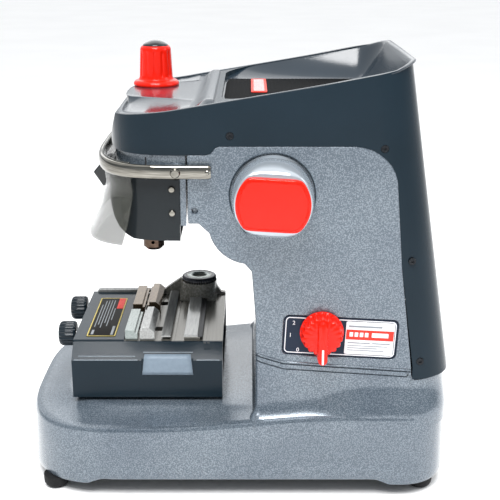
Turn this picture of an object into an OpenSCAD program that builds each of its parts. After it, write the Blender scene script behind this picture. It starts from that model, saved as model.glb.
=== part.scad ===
// Bench key duplicating machine with a sliding spindle head, a cross table with
// two vices and a lever socket, a tilting splash guard and a tool tray on top.
// Origin: centre of the four bench bolts, on the bench. +X runs to the back of
// the machine, +Z up, and the feed handle is on the -Y side. Sizes in mm.

/* [Base casting] */
// Length of the base casting, front to back
base_len = 394.5; // [370:0.5:480]
// Width of the base casting
base_w = 250; // [236:1:310]
// Height of the flat deck above the bench
deck_z = 78; // [66:0.5:94]
// Height of the crease where the side walls meet the sloping shoulder
crease_z = 70; // [56:0.5:76]
// Half width of the flat deck
deck_half_w = 89; // [80:1:105]
// Corner radius of the base in plan
corner_r = 42; // [30:1:50]
// Wall thickness of the base casting
base_wall = 5; // [3:0.5:7]

/* [Feet] */
// Distance between the feet, front to back
foot_dx = 344; // [310:1:360]
// Distance between the feet, side to side
foot_dy = 200; // [170:1:210]
// Diameter of a rubber foot
foot_d = 24; // [18:1:30]
// Height of a rubber foot
foot_h = 12; // [8:1:16]
// Radius of the bench bolt hole through a foot
bench_hole_r = 3.2; // [2.5:0.1:4.5]

/* [Column] */
// Width of the column and arm casting
column_w = 224; // [200:1:240]
// Front face of the column
column_x = 16.5; // [12:0.5:24]
// Front end of the arm
arm_x = -42; // [-44:0.5:-38]
// Underside of the arm
arm_z = 260; // [256:0.5:266]
// Wall thickness of the column and arm casting
column_wall = 6; // [4:0.5:9]
// Height where the top cover meets the side of the arm
shoulder_z = 328; // [320:0.5:340]

/* [Top cover] */
// Wall thickness of the top cover
cover_wall = 3; // [2:0.5:5]
// Lower edge of the cover's nose
nose_z = 320.5; // [318:0.5:326]
// Height of the raised deck under the depth knob
knob_deck_z = 358.5; // [355:0.5:364]
// Floor of the tool tray
tray_z = 357.5; // [354:0.5:362]
// Width of the rim around the tool tray
rim_w = 6; // [4:0.5:9]
// Highest point of the rim, at the back
rim_back_z = 398.5; // [392:0.5:412]

/* [Head] */
// Distance between the cutter axis and the tracer axis
spindle_gap = 70; // [60:1:90]
// Cutter and tracer axes, along X
spindle_x = -79.5; // [-82:0.5:-74]
// Radius of the spindle shaft
shaft_r = 8; // [6:0.5:10]
// Radius of the spindle nose
nose_r = 10; // [8:0.5:12]
// Radius of the tool bore in the cutter and the tracer
tool_bore_r = 3; // [2:0.25:4]
// Travel of the head, down from rest
head_travel = 45; // [30:1:50]
// Radial clearance of a shaft in its bore
fit_gap = 0.05; // [0.02:0.01:0.1]
// Radius of a guide rod
rod_r = 6; // [4:0.5:8]

/* [Splash guard] */
// Height of the rail's centre line
rail_z = 307.5; // [304:0.5:310]
// Height of the rail's section
rail_h = 12; // [8:0.5:14]
// Thickness of the rail's section
rail_t = 6; // [4:0.5:8]
// Thickness of the clear shield
shield_t = 2; // [1.5:0.5:3]

/* [Feed handle] */
// Handle axis, along X
handle_x = 30.7; // [26:0.5:36]
// Handle axis, above the bench
handle_z = 285.5; // [282:0.5:292]
// Radius of the handle's disc
handle_r = 35.5; // [30:0.5:38]
// How far the handle stands out from the column
handle_out = 36; // [28:1:46]
// Pitch radius of the pinion
pinion_r = 15; // [12:0.5:18]
// Teeth on the pinion
pinion_teeth = 20; // [16:1:24]

/* [Selector] */
// Selector knob diameter
selector_d = 38; // [30:1:42]
// Selector panel length
panel_l = 102; // [96:1:110]
// Selector panel height
panel_h = 37; // [34:1:44]

/* [Cross table] */
// Length of the table housing, front to back
table_l = 141; // [132:1:150]
// Width of the table housing
table_w = 164; // [150:1:176]
// Top face of the table
table_z = 132; // [128:0.5:138]
// Height of the housing's side wall above the bench
table_side_z = 119; // [112:0.5:124]
// Travel of the table each way, front to back
table_travel_x = 20; // [10:1:22]
// Travel of the saddle each way, side to side
table_travel_y = 18; // [10:1:20]
// Wall thickness of the table housing
table_wall = 3; // [2:0.5:4]

/* [Vices] */
// Width of a vice jaw
jaw_w = 57; // [40:1:60]
// Height of a vice jaw above the table
jaw_h = 12; // [8:0.5:18]
// Opening of a vice, from rest
jaw_travel = 6; // [3:0.5:8]
// Diameter of a clamp knob
clamp_d = 24; // [18:0.5:26]
// Length of a clamp knob
clamp_l = 17; // [12:0.5:20]
// Bore of the lever socket
lever_bore_r = 4; // [3:0.5:5]

/* [Hidden] */
$fn = 48;

silver = "#9aa4ae";
slate = "#2e3a44";
red = "#fc3a24";
steel = "#b9bcbe";
black = "#17191b";

base_front = foot_dx / 2 + 29;
base_x = base_len - base_front;
base_bottom = foot_h;
arch_h = 6;
column_half = column_w / 2;
part_gap = 1;
table_gap = 3.5;

// where the column and the base meet, rising to a lip at the front
seam_z0 = 139.5;
seam_z1 = 131.5;
seam_z2 = 123.3;
seam_x1 = column_x + 25;
seam_x2 = base_x - 36;
cover_foot_z = 114;
cover_back_x = base_x + 3;

// ---- plan and side shapes ----
function arc(cx, cy, r, a0, a1, steps) =
  [for (i = [0 : steps]) let (a = a0 + (a1 - a0) * i / steps)
    [cx + r * cos(a), cy + r * sin(a)]];
nose_x = -41.5;
nose_power = 3.3;
function nose_points(len, half) =
  [for (a = [90 : -7.5 : -90])
    [nose_x - len * pow(abs(cos(a)), 2 / nose_power),
     half * sign(a) * pow(abs(sin(a)), 2 / nose_power)]];

module nose_plan(len, half, back) intersection() {
  polygon(concat([[300, half]], nose_points(len, half), [[300, -half]]));
  translate([back - 600, -300]) square([600, 600]);
}

module rrect(l, w, r) {
  square([l - 2 * r, w], center = true);
  square([l, w - 2 * r], center = true);
  for (x = [-1, 1], y = [-1, 1])
    translate([x * (l / 2 - r), y * (w / 2 - r)]) circle(r);
}

// an XZ outline carried across the machine, half_w each side of the middle
module slab(points, half_w)
  translate([0, half_w, 0]) rotate([90, 0, 0]) linear_extrude(2 * half_w) polygon(points);

// an XZ shape standing on the plane Y = y and growing outwards (towards -Y)
module on_side(x, y, z, tilt = 0)
  translate([x, y, z]) rotate([90, 0, 0]) rotate([0, 0, tilt]) children();

module mirror_far(far) mirror([0, far ? 1 : 0, 0]) children();

// ---- base ----
// plan of the base: a rounded nose in front, rounded corners at the back
base_nose_len = 111;
module base_plan(inset) {
  half = base_w / 2 - inset;
  intersection() {
    polygon(concat([[300, half]],
      [for (a = [90 : -5 : -90])
        [base_nose_len - base_front - (base_nose_len - inset) * pow(abs(cos(a)), 2 / nose_power),
         half * sign(a) * pow(abs(sin(a)), 2 / nose_power)]],
      [[300, -half]]));
    translate([base_x - 300, 0]) rrect(600 - 2 * inset, base_w - 2 * inset, corner_r - inset);
  }
}
shoulder_run = base_w / 2 - deck_half_w;
function base_side(inset) = [
  [-base_front, base_bottom], [base_x, base_bottom], [base_x, cover_foot_z - part_gap - inset],
  [seam_x2 + part_gap - inset, cover_foot_z - part_gap - inset],
  [seam_x2 + part_gap - inset, seam_z2 - inset - 0.2], [seam_x2, seam_z2 - inset],
  [seam_x1, seam_z1 - inset],
  [column_x + inset, seam_z0 - inset], [column_x + inset, deck_z - inset],
  [shoulder_run - base_front, deck_z - inset], [-base_front, crease_z - inset]];

module base_body(inset) {
  half = base_w / 2 - inset;
  intersection() {
    translate([0, 0, base_bottom]) linear_extrude(200) base_plan(inset);
    slab(base_side(inset), base_w);
    union() {
      translate([-base_len, 0, 0]) rotate([90, 0, 90])
        linear_extrude(base_len + column_x + inset)
        polygon([[-half, 0], [half, 0], [half, crease_z - inset],
          [deck_half_w - inset, deck_z - inset], [inset - deck_half_w, deck_z - inset],
          [-half, crease_z - inset]]);
      translate([column_x + inset, 0, 0]) rotate([90, 0, 90]) linear_extrude(base_len)
        polygon([[-half, 0], [half, 0], [half, crease_z + 6],
          [column_half - inset, cover_foot_z], [column_half - inset, 200],
          [inset - column_half, 200], [inset - column_half, cover_foot_z],
          [-half, crease_z + 6]]);
    }
  }
}

seam_groove_h = 1.4;
seam_groove_d = 1.6;
module seam_groove(drop) {
  line = [[column_x - 1, seam_z0 - drop], [seam_x1, seam_z1 - drop],
    [seam_x2 - 1, seam_z2 - drop]];
  strip = concat(line, [for (i = [2 : -1 : 0]) line[i] - [0, seam_groove_h]]);
  difference() {
    slab(strip, column_half + 4);
    slab(strip, column_half - seam_groove_d);
  }
}

boss_r = 10;
base_top = 130;
module foot_places() for (x = [-1, 1], y = [-1, 1])
  translate([x * foot_dx / 2, y * foot_dy / 2, 0]) children();

inlet_y = -58;
inlet_z = 56;
inlet_w = 28;
inlet_h = 21;
module base_casting() color(silver) difference() {
  union() {
    difference() {
      base_body(0);
      translate([0, 0, -1]) base_body(base_wall);
      // arched lower edge between the feet
      translate([0, 0, base_bottom]) cube([foot_dx - 50, base_w + 2, 2 * arch_h], true);
      translate([0, 0, base_bottom]) cube([2 * base_len, foot_dy - 50, 2 * arch_h], true);
      for (drop = [1.6, 6.6]) seam_groove(drop);
    }
    intersection() {
      base_body(1);
      foot_places() translate([0, 0, base_bottom]) cylinder(h = base_top, r = boss_r);
    }
  }
  foot_places() translate([0, 0, base_bottom - 1]) cylinder(h = 30, r = bench_hole_r);
  // power inlet cut-out
  translate([base_x - base_wall - 2, inlet_y - inlet_w / 2 - 0.3, inlet_z - inlet_h / 2 - 0.3])
    cube([base_wall + 4, inlet_w + 0.6, inlet_h + 0.6]);
}

plate_t = 2;
plate_z = base_bottom + arch_h + 1;
module bottom_plate() color(black) difference() {
  translate([0, 0, plate_z]) linear_extrude(plate_t)
    base_plan(base_wall + 0.5);
  foot_places() translate([0, 0, plate_z - 1]) cylinder(h = plate_t + 2, r = boss_r + 0.3);
  // ventilation slots
  for (i = [-5 : 5]) translate([i * 9 + 60, 0, plate_z]) cube([3, 60, 3 * plate_t], true);
}

module foot(x, y) color(black) translate([x * foot_dx / 2, y * foot_dy / 2, 0]) difference() {
  union() {
    cylinder(h = 2, r1 = foot_d / 2 - 2, r2 = foot_d / 2);
    translate([0, 0, 2]) cylinder(h = foot_h - 2, r = foot_d / 2);
  }
  translate([0, 0, -1]) cylinder(h = foot_h + 2, r = bench_hole_r);
}

// ---- column and arm ----
throat_r = 37;
throat_x = column_x - 4.5;
shoulder_r = 38;
shoulder_x = base_x - 93;
column_back_x = base_x - 48.5;
function column_side(dx, dz, top) = concat(
  [[arm_x, arm_z + dz], [arm_x + 9, arm_z + dz]],
  [for (p = arc(throat_x, arm_z, throat_r, 193, 262, 8)) p + [dx, dz]],
  [[throat_x + 1 + dx, 216 + dz], [column_x - 2 + dx, 195 + dz], [column_x + dx, 172 + dz],
   [column_x + dx, seam_z0 + dz], [seam_x1 + dx, seam_z1 + dz], [seam_x2, seam_z2 + dz],
   [column_back_x, 219]],
  arc(shoulder_x, shoulder_z - shoulder_r, shoulder_r, 0, 90, 8),
  [[-15, shoulder_z], [-18.5, shoulder_z - 1.5], [-22, top + 1.5], [-26, top], [arm_x, top]]);

handle_boss_l = 26;
panel_x = 92.3;
panel_z = 154.6;
panel_tilt = -3.1;
panel_deep = 2.4;
module column_casting() color(silver) difference() {
  union() {
    difference() {
      slab(column_side(0, 0, nose_z), column_half);
      // hollow, open at the back and at the top under the cover
      slab(concat(
        [for (p = column_side(column_wall, column_wall * 0.9, nose_z)) if (p[1] < 225) p],
        [[210, 219], [210, 400], [arm_x - 9, 400], [arm_x - 9, arm_z + column_wall],
         [arm_x + 13, arm_z + column_wall]],
        [for (p = arc(throat_x, arm_z, throat_r, 193, 250, 6))
          p + [column_wall, column_wall * 0.9]]), column_half - column_wall);
    }
    // bearing boss for the handle shaft
    translate([handle_x, -column_half + 2, handle_z]) rotate([-90, 0, 0])
      cylinder(h = handle_boss_l - 2, r = shaft_r + 6);
    // seats for the guide rods, standing on the arm's lower web
    intersection() {
      slab(column_side(0, 0, nose_z), column_half - 1);
      for (y = [-1, 1]) translate([rod_x, y * rod_y, seat_z - 40])
        cylinder(h = 40, r = rod_r + 4);
    }
  }
  for (y = [-1, 1]) translate([rod_x, y * rod_y, seat_z - seat_deep])
    cylinder(h = 40, r = rod_r);
  // recess and bore for the handle
  on_side(handle_x, -column_half + 3, handle_z) cylinder(h = 10, r = handle_r + 1.5);
  on_side(handle_x, 0, handle_z) cylinder(h = column_half + 1, r = shaft_r + fit_gap);
  // recess and bore for the selector
  on_side(panel_x, -column_half + panel_deep, panel_z, panel_tilt)
    linear_extrude(10) rrect(panel_l + 1, panel_h + 1, 5.5);
  on_side(selector_x, -column_half + 10, selector_z) cylinder(h = 12, r = 9);
  // access hole on the arm
  on_side(arm_x + 6, -column_half + 4, arm_z + 12) cylinder(h = 8, r = 2.6);
}

// ---- guide rods inside the arm ----
rod_x = -16;
rod_y = 44;
seat_z = arm_z + 2;
seat_deep = 6;
rod_z0 = seat_z - seat_deep;
rod_z1 = 347;
module guide_rod(far) mirror_far(far) color(steel)
  translate([rod_x, -rod_y, rod_z0]) cylinder(h = rod_z1 - rod_z0, r = rod_r);

bridge_t = 6;
module rod_bridge() color(steel) difference() {
  translate([rod_x - 9, -column_half + column_wall, rod_z1 - bridge_t])
    cube([26, 2 * (column_half - column_wall), bridge_t]);
  for (y = [-1, 1]) translate([rod_x, y * rod_y, rod_z1 - bridge_t - 1])
    cylinder(h = bridge_t + 2, r = rod_r);
}

// ---- top and rear cover ----
cover_len = 73.5;
cover_lean = 40;
lean_z = 394;
function cover_back(z) = cover_back_x - cover_lean
  + cover_lean * sin(90 * pow((lean_z - z) / (lean_z - cover_foot_z), 0.8));
function cover_side(inset, top) = concat(
  [[nose_x - cover_len + inset, nose_z], [-105 + inset, top[0]], [-58, top[1]],
   [rim_mid_x, top[2]], [tray_x1 - 15.5 - inset, top[3]], [tray_x1 + 5 - 2 * inset, top[4]]],
  [for (i = [0 : 6]) let (z = lean_z - (lean_z - cover_foot_z) * i / 6)
    [cover_back(z) - inset, z]],
  [[seam_x2 + part_gap, cover_foot_z], [seam_x2 + part_gap, seam_z2 + 2],
   [column_back_x, 219], [shoulder_x, nose_z]]);

rim_mid_x = 52;
rim_top = [352, 357.2, 375.5, rim_back_z - 7.5, rim_back_z];
// the hollow under the tray floor, and the lower one under the knob deck
hollow_top = tray_z - cover_wall;
deck_t = 11;
front_hollow_top = knob_deck_z - deck_t;
valley_z = front_hollow_top + cover_wall;
tray_x0 = -13;
tray_x1 = cover_back_x - 47;
module tray_plan(inset) {
  l = tray_x1 - tray_x0 - 2 * inset;
  translate([(tray_x0 + tray_x1) / 2, 0]) rrect(l, column_w - 2 * rim_w - 2 * inset, 30);
}
deck_back_x = -26;
deck_half = 47;
module cover_body(inset) intersection() {
  slab(cover_side(inset, rim_top), column_half + 1);
  linear_extrude(420) nose_plan(cover_len - inset, column_half - inset, 240);
  // rounded, leaning rear corners
  translate([cover_back_x - inset, 0, cover_foot_z]) rotate([0, -9.2, 0])
    translate([-260, 0, -80]) linear_extrude(420)
    rrect(520, column_w - 2 * inset, 38 - inset);
}
module top_cover() color(slate) difference() {
  cover_body(0);
  // room inside, up to the tray floor and the knob deck
  intersection() {
    cover_body(cover_wall);
    union() {
      translate([-300, -200, 0]) cube([600, 400, front_hollow_top]);
      translate([tray_x0 - 4, -200, 0]) cube([600, 400, hollow_top]);
    }
  }
  translate([0, 0, nose_z - 1]) linear_extrude(6)
    nose_plan(cover_len - cover_wall, column_half - cover_wall, arm_x);
  // tool tray
  translate([0, 0, tray_z]) linear_extrude(80) tray_plan(0);
  // valley between the rim and the raised deck
  translate([0, 0, valley_z]) linear_extrude(80) difference() {
    nose_plan(cover_len - 9, column_half - rim_w, deck_back_x);
    nose_plan(cover_len - 12, deck_half, 0);
  }
  translate([0, 0, knob_deck_z]) linear_extrude(80)
    nose_plan(cover_len - 9, column_half - rim_w, deck_back_x);
  // bore for the depth knob's bush
  translate([spindle_x, spindle_gap / 2, 300]) cylinder(h = 80, r = bush_r);
  // the arm's side walls fill this part of the outline
  for (y = [-1, 1]) translate([0, y * (column_half - column_wall / 2), 0])
    slab(column_side(-0.3, 0, nose_z + 0.3), column_wall / 2 + 2);
  for (y = [0, 1]) mirror_far(y == 1) cover_screw_places()
    translate([0, 0, -3]) cylinder(h = 6, r = screw_r + 0.3);
}

screw_r = 3.2;
screw_spots = [[-5.5, 337], [base_x - 68, 326], [base_x - 40, 226], [base_x - 28.5, 131]];
module cover_screw_places() for (p = screw_spots)
  on_side(p[0], -column_half, p[1]) children();
module cover_screws() color(black) for (y = [0, 1]) mirror_far(y == 1)
  cover_screw_places() translate([0, 0, -2.8]) difference() {
    cylinder(h = 2.4, r = screw_r);
    translate([0, 0, 1.2]) cylinder(h = 3, r = 1.5, $fn = 6);
  }

mat_t = 2;
module tray_mat() color(black) translate([43, 0, tray_z]) linear_extrude(mat_t)
  rrect(100, 150, 8);
module tray_strip() color(red) translate([20, 26, tray_z + mat_t]) linear_extrude(0.6)
  rrect(15, 86, 2);

bush_r = 8;
module knob_bush() color(steel) translate([spindle_x, spindle_gap / 2, 0]) difference() {
  translate([0, 0, front_hollow_top]) cylinder(h = deck_t, r = bush_r);
  translate([0, 0, 300]) cylinder(h = 100, r = depth_shaft_r + fit_gap);
}

// ---- selector ----
selector_x = 75.5;
selector_z = 160.5;
panel_t = 1.6;
module selector_panel() color(slate) difference() {
  on_side(panel_x, -column_half + panel_deep, panel_z, panel_tilt)
    linear_extrude(panel_t) rrect(panel_l, panel_h, 5);
  on_side(selector_x, 0, selector_z) cylinder(h = 200, r = selector_shaft_r + 1);
}
module panel_label() color("#e8e8ea")
  on_side(panel_x, -column_half + panel_deep - panel_t, panel_z, panel_tilt)
    translate([panel_l / 2 - 26, 0, 0]) linear_extrude(0.4) rrect(46, panel_h - 5, 2);

selector_shaft_r = 3;
selector_shaft_l = 14;
module selector_switch() color(black) difference() {
  on_side(selector_x, -column_half + panel_deep + 22, selector_z)
    cylinder(h = 20, r = 8.6);
  on_side(selector_x, 0, selector_z) cylinder(h = 200, r = selector_shaft_r + fit_gap);
}
selector_tip = 24.5;
selector_out = 21;
module selector_knob() color(red) {
  face_y = -column_half - 0.6;
  on_side(selector_x, face_y, selector_z) {
    difference() {
      union() {
        cylinder(h = 5, r = selector_d / 2);
        translate([0, 0, 5]) cylinder(h = selector_out - 9, r = selector_d / 2 - 1);
      }
      for (a = [0 : 15 : 345]) rotate(a)
        translate([selector_d / 2 + 0.6, 0, 4]) cylinder(h = 30, r = 2);
    }
    // raised pointer bar, tip down
    translate([-5, -selector_tip + 5, 3]) cube([10, 2 * selector_tip - 14, selector_out - 3]);
    translate([0, -selector_tip + 5, 3]) cylinder(h = selector_out - 3, r = 5);
  }
  on_side(selector_x, face_y + selector_shaft_l, selector_z)
    cylinder(h = selector_shaft_l + 1, r = selector_shaft_r);
}

// ---- power ----
module power_inlet() color(black) difference() {
  union() {
    translate([base_x - 18, inlet_y - inlet_w / 2, inlet_z - inlet_h / 2])
      cube([18, inlet_w, inlet_h]);
    translate([base_x, inlet_y - inlet_w / 2 - 4, inlet_z - inlet_h / 2 - 3])
      cube([2, inlet_w + 8, inlet_h + 6]);
  }
  translate([base_x - 14, inlet_y - 12, inlet_z - 8]) cube([20, 24, 16]);
}
module power_supply() color(steel)
  translate([90, -50, plate_z + plate_t]) cube([70, 100, 34]);

// ---- head ----
head_len = cover_len - 3;
head_half = column_half - 2;
head_back_x = arm_x - 1.5;
band_z0 = 300;
band_z1 = nose_z - 0.5;
strip_z = 258;
spindle_y = spindle_gap / 2;
housing_r = 20;
housing_z = 250;
bearing_r = 15;
module spindle_places(sides) for (y = sides) translate([spindle_x, y * spindle_y, 0]) children();
module head_casting() color(silver) difference() {
  union() {
    difference() {
      translate([0, 0, band_z0]) linear_extrude(band_z1 - band_z0)
        nose_plan(head_len, head_half, head_back_x);
      translate([0, 0, band_z0 - 1]) linear_extrude(band_z1 - band_z0 - 4)
        nose_plan(head_len - 6, head_half - 6, head_back_x - 8);
    }
    // rear wall, visible as a strip behind the shroud
    translate([head_back_x - 5, -head_half, strip_z])
      cube([5, 2 * head_half, band_z1 - strip_z]);
    spindle_places([-1, 1]) translate([0, 0, housing_z])
      cylinder(h = band_z1 - housing_z, r = housing_r);
    // webs from the housings to the rear wall
    for (y = [-1, 1]) translate([spindle_x, y * spindle_y - 5, housing_z + 8])
      cube([head_back_x - spindle_x - 1, 10, band_z1 - housing_z - 8]);
    // bosses for the guard pivots
    for (y = [0, 1]) mirror_far(y == 1) on_side(pivot_x, 8 - head_half, rail_z)
      cylinder(h = rail_in_half - 0.9 - head_half + 8, r = 6);
  }
  spindle_places([-1, 1]) {
    translate([0, 0, housing_z - 1]) cylinder(h = 120, r = shaft_r + 2);
    translate([0, 0, housing_z - 1]) cylinder(h = 13, r = bearing_r);
    translate([0, 0, band_z1 - 12]) cylinder(h = 20, r = bearing_r);
  }
  // the motor hangs through the top plate, between the spindles
  translate([motor_x, 0, band_z0 - 60]) cylinder(h = 120, r = motor_r);
  for (y = [-1, 1]) translate([pivot_x, y * head_half, rail_z])
    rotate([90, 0, 0]) cylinder(h = 40, r = pin_r, center = true);
  // screw seats for the shroud
  for (y = [0, 1]) mirror_far(y == 1) for (z = shroud_screw_z)
    on_side(shroud_screw_x, -head_half + 6, z) cylinder(h = 12, r = 1.6);
}

shroud_top = band_z0 - 0.5;
shroud_z = 245;
shroud_len = cover_len + 3.5;
shroud_screw_x = -55.5;
shroud_screw_z = [291, 270];
shroud_half = column_half;
module head_shroud() color("#23282c") difference() {
  translate([0, 0, shroud_z]) linear_extrude(shroud_top - shroud_z)
    nose_plan(shroud_len, shroud_half, head_back_x - 5.3);
  translate([0, 0, shroud_z + 2]) linear_extrude(60)
    nose_plan(shroud_len - 3, shroud_half - 3, head_back_x - 5);
  // swept-up lower front corner
  slab([[-140, 230], [-90, 230], [-90, shroud_z], [-96, shroud_z + 2], [-104, shroud_z + 7],
    [-110, shroud_z + 14], [-114, shroud_z + 22], [-119, shroud_z + 30], [-140, 290]], 140);
  spindle_places([-1, 1]) translate([0, 0, shroud_z - 1]) cylinder(h = 20, r = housing_r + 0.5);
  translate([lamp_x, 0, shroud_z - 1]) cylinder(h = 10, r = lamp_r + 0.3);
  for (y = [0, 1]) mirror_far(y == 1) for (z = shroud_screw_z)
    on_side(shroud_screw_x, -shroud_half + 4, z) cylinder(h = 8, r = 1.8);
  // notch round the guard pivots
  translate([pivot_x, 0, rail_z]) rotate([90, 0, 0]) cylinder(h = 300, r = 8.5, center = true);
}
module shroud_screws() color("#d5d7d8") for (y = [0, 1]) mirror_far(y == 1)
  for (z = shroud_screw_z) {
    on_side(shroud_screw_x, -shroud_half, z) cylinder(h = 1.8, r1 = 3.2, r2 = 2.4);
    on_side(shroud_screw_x, -shroud_half + 4, z) cylinder(h = 4.2, r = 1.5);
  }

lamp_x = -62;
lamp_r = 7;
module work_lamp() color("#eef2f4") translate([lamp_x, 0, shroud_z - 3])
  cylinder(h = 9, r1 = lamp_r - 1.5, r2 = lamp_r);

// block that rides on the guide rods and carries the head through the arm's open front
slide_z0 = 312;
slide_z1 = 338;
slide_back_x = 0;
module head_slide() color(steel) difference() {
  union() {
    translate([head_back_x, -62, slide_z0])
      cube([slide_back_x - head_back_x, 124, slide_z1 - slide_z0]);
    translate([slide_back_x - 1, -rack_y1, slide_z1 - 18])
      cube([rack_x - slide_back_x + 1 - rack_t / 2, rack_y1 - 50, 18]);
  }
  for (y = [-1, 1]) translate([rod_x, y * rod_y, slide_z0 - 1])
    cylinder(h = 60, r = rod_r + fit_gap);
}

tooth = 2 * PI * pinion_r / pinion_teeth;
module_mm = 2 * pinion_r / pinion_teeth;
rack_t = 7;
rack_x = handle_x - pinion_r - 1.25 * module_mm - rack_t / 2;
rack_y0 = 68;
rack_y1 = 80;
rack_z0 = handle_z - 9;
rack_z1 = slide_z1;
// one tooth: wide at the root, narrow at the tip, leaving a working gap
module tooth_shape(root, tip)
  polygon([[0, -tooth * 0.30], [root + tip, -tooth * 0.13],
    [root + tip, tooth * 0.13], [0, tooth * 0.30]]);
module feed_rack() color(steel) {
  translate([rack_x - rack_t / 2, -rack_y1, rack_z0])
    cube([rack_t, rack_y1 - rack_y0, rack_z1 - rack_z0]);
  for (i = [-1 : floor((head_travel + 5) / tooth)])
    translate([rack_x + rack_t / 2 - 0.01, -rack_y0, handle_z + i * tooth])
      rotate([90, 0, 0]) linear_extrude(rack_y1 - rack_y0)
      tooth_shape(1.15 * module_mm, 0.9 * module_mm);
}

module bearing(z) color("#8d9194") translate([spindle_x, -spindle_y, z]) difference() {
  cylinder(h = 11, r = bearing_r);
  translate([0, 0, -1]) cylinder(h = 13, r = shaft_r + fit_gap);
}
module tracer_bush() color("#b08d57") translate([spindle_x, spindle_y, 0]) difference() {
  union() {
    translate([0, 0, housing_z]) cylinder(h = 12, r = bearing_r);
    translate([0, 0, housing_z]) cylinder(h = band_z1 - housing_z, r = shaft_r + 2);
    translate([0, 0, band_z1 - 12]) cylinder(h = 12, r = bearing_r);
  }
  translate([0, 0, housing_z - 1]) cylinder(h = 120, r = shaft_r + fit_gap);
}

motor_x = -70;
motor_r = 14;
motor_shaft_r = 2.5;
pulley_z = band_z1 + 4;
pulley_h = 9;
motor_pulley_r = 7;
cutter_pulley_r = 13;
module motor_can() color("#3a3d40") difference() {
  translate([motor_x, 0, shroud_z + 12]) cylinder(h = band_z1 - shroud_z - 11, r = motor_r);
  translate([motor_x, 0, band_z1 - 20]) cylinder(h = 40, r = motor_shaft_r + fit_gap);
}
module motor_pulley() color(steel) translate([motor_x, 0, 0]) {
  translate([0, 0, band_z1 - 18]) cylinder(h = 30, r = motor_shaft_r);
  translate([0, 0, pulley_z]) cylinder(h = pulley_h, r = motor_pulley_r);
}
belt_t = 1.6;
module belt_loop(extra, h) hull() {
  translate([spindle_x, -spindle_y, 0]) cylinder(h = h, r = cutter_pulley_r + extra);
  translate([motor_x, 0, 0]) cylinder(h = h, r = motor_pulley_r + extra);
}
module drive_belt() color(black) translate([0, 0, pulley_z + 1]) difference() {
  belt_loop(0.35 + belt_t, pulley_h - 2);
  translate([0, 0, -1]) belt_loop(0.35, pulley_h);
}

// ---- cutter and tracer ----
nose_z0 = 215;
nose_z1 = 233;
module cutter_spindle() color("#5b4a42") translate([spindle_x, -spindle_y, 0]) difference() {
  union() {
    translate([0, 0, nose_z0]) cylinder(h = 3, r1 = nose_r - 3, r2 = nose_r);
    translate([0, 0, nose_z0 + 3]) cylinder(h = nose_z1 - nose_z0 - 3, r = nose_r);
    translate([0, 0, nose_z1 - 1]) cylinder(h = pulley_z + pulley_h - nose_z1 + 3, r = shaft_r);
  }
  translate([0, 0, nose_z0 - 1]) cylinder(h = 23, r = tool_bore_r);
  // cross hole for the collet screw
  translate([0, 0, nose_z0 + 8]) rotate([90, 0, 0]) cylinder(h = 12, r = 1.6);
}
module cutter_pulley() color(steel) translate([spindle_x, -spindle_y, pulley_z]) difference() {
  cylinder(h = pulley_h, r = cutter_pulley_r);
  translate([0, 0, -1]) cylinder(h = pulley_h + 2, r = shaft_r);
}
tracer_travel = 4;
module tracer_quill() color("#5b4a42") translate([spindle_x, spindle_y, 0]) difference() {
  union() {
    translate([0, 0, nose_z0]) cylinder(h = 3, r1 = nose_r - 3, r2 = nose_r);
    translate([0, 0, nose_z0 + 3]) cylinder(h = nose_z1 - nose_z0 - 3, r = nose_r);
    translate([0, 0, nose_z1 - 1]) cylinder(h = band_z1 - nose_z1 + 8, r = shaft_r);
  }
  translate([0, 0, nose_z0 - 1]) cylinder(h = 23, r = tool_bore_r);
}

// ---- depth knob on the cover ----
knob_flange_r = 22;
knob_r = 16;
knob_top = 397;
depth_shaft_r = 5;
module depth_knob() color(red) translate([spindle_x, spindle_y, 0]) difference() {
  union() {
    translate([0, 0, knob_deck_z + 0.4]) cylinder(h = 5, r = knob_flange_r);
    translate([0, 0, knob_deck_z + 5.4])
      cylinder(h = 5, r1 = knob_flange_r, r2 = knob_r);
    translate([0, 0, knob_deck_z + 10])
      cylinder(h = knob_top - knob_deck_z - 10, r1 = knob_r, r2 = knob_r - 1.2);
    translate([0, 0, front_hollow_top - 4]) cylinder(h = deck_t + 8, r = depth_shaft_r);
  }
  // finger flutes
  for (a = [0 : 45 : 315]) rotate(a)
    translate([knob_r + 1.2, 0, knob_deck_z + 12]) cylinder(h = 40, r = 3);
  translate([0, 0, knob_top - 6]) cylinder(h = 10, r = knob_r - 4);
}
module depth_cap() color(black) translate([spindle_x, spindle_y, knob_top - 6]) {
  cylinder(h = 7, r = knob_r - 4.1);
  translate([0, 0, 7]) cylinder(h = 4, r1 = knob_r - 4.1, r2 = 5);
}

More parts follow.
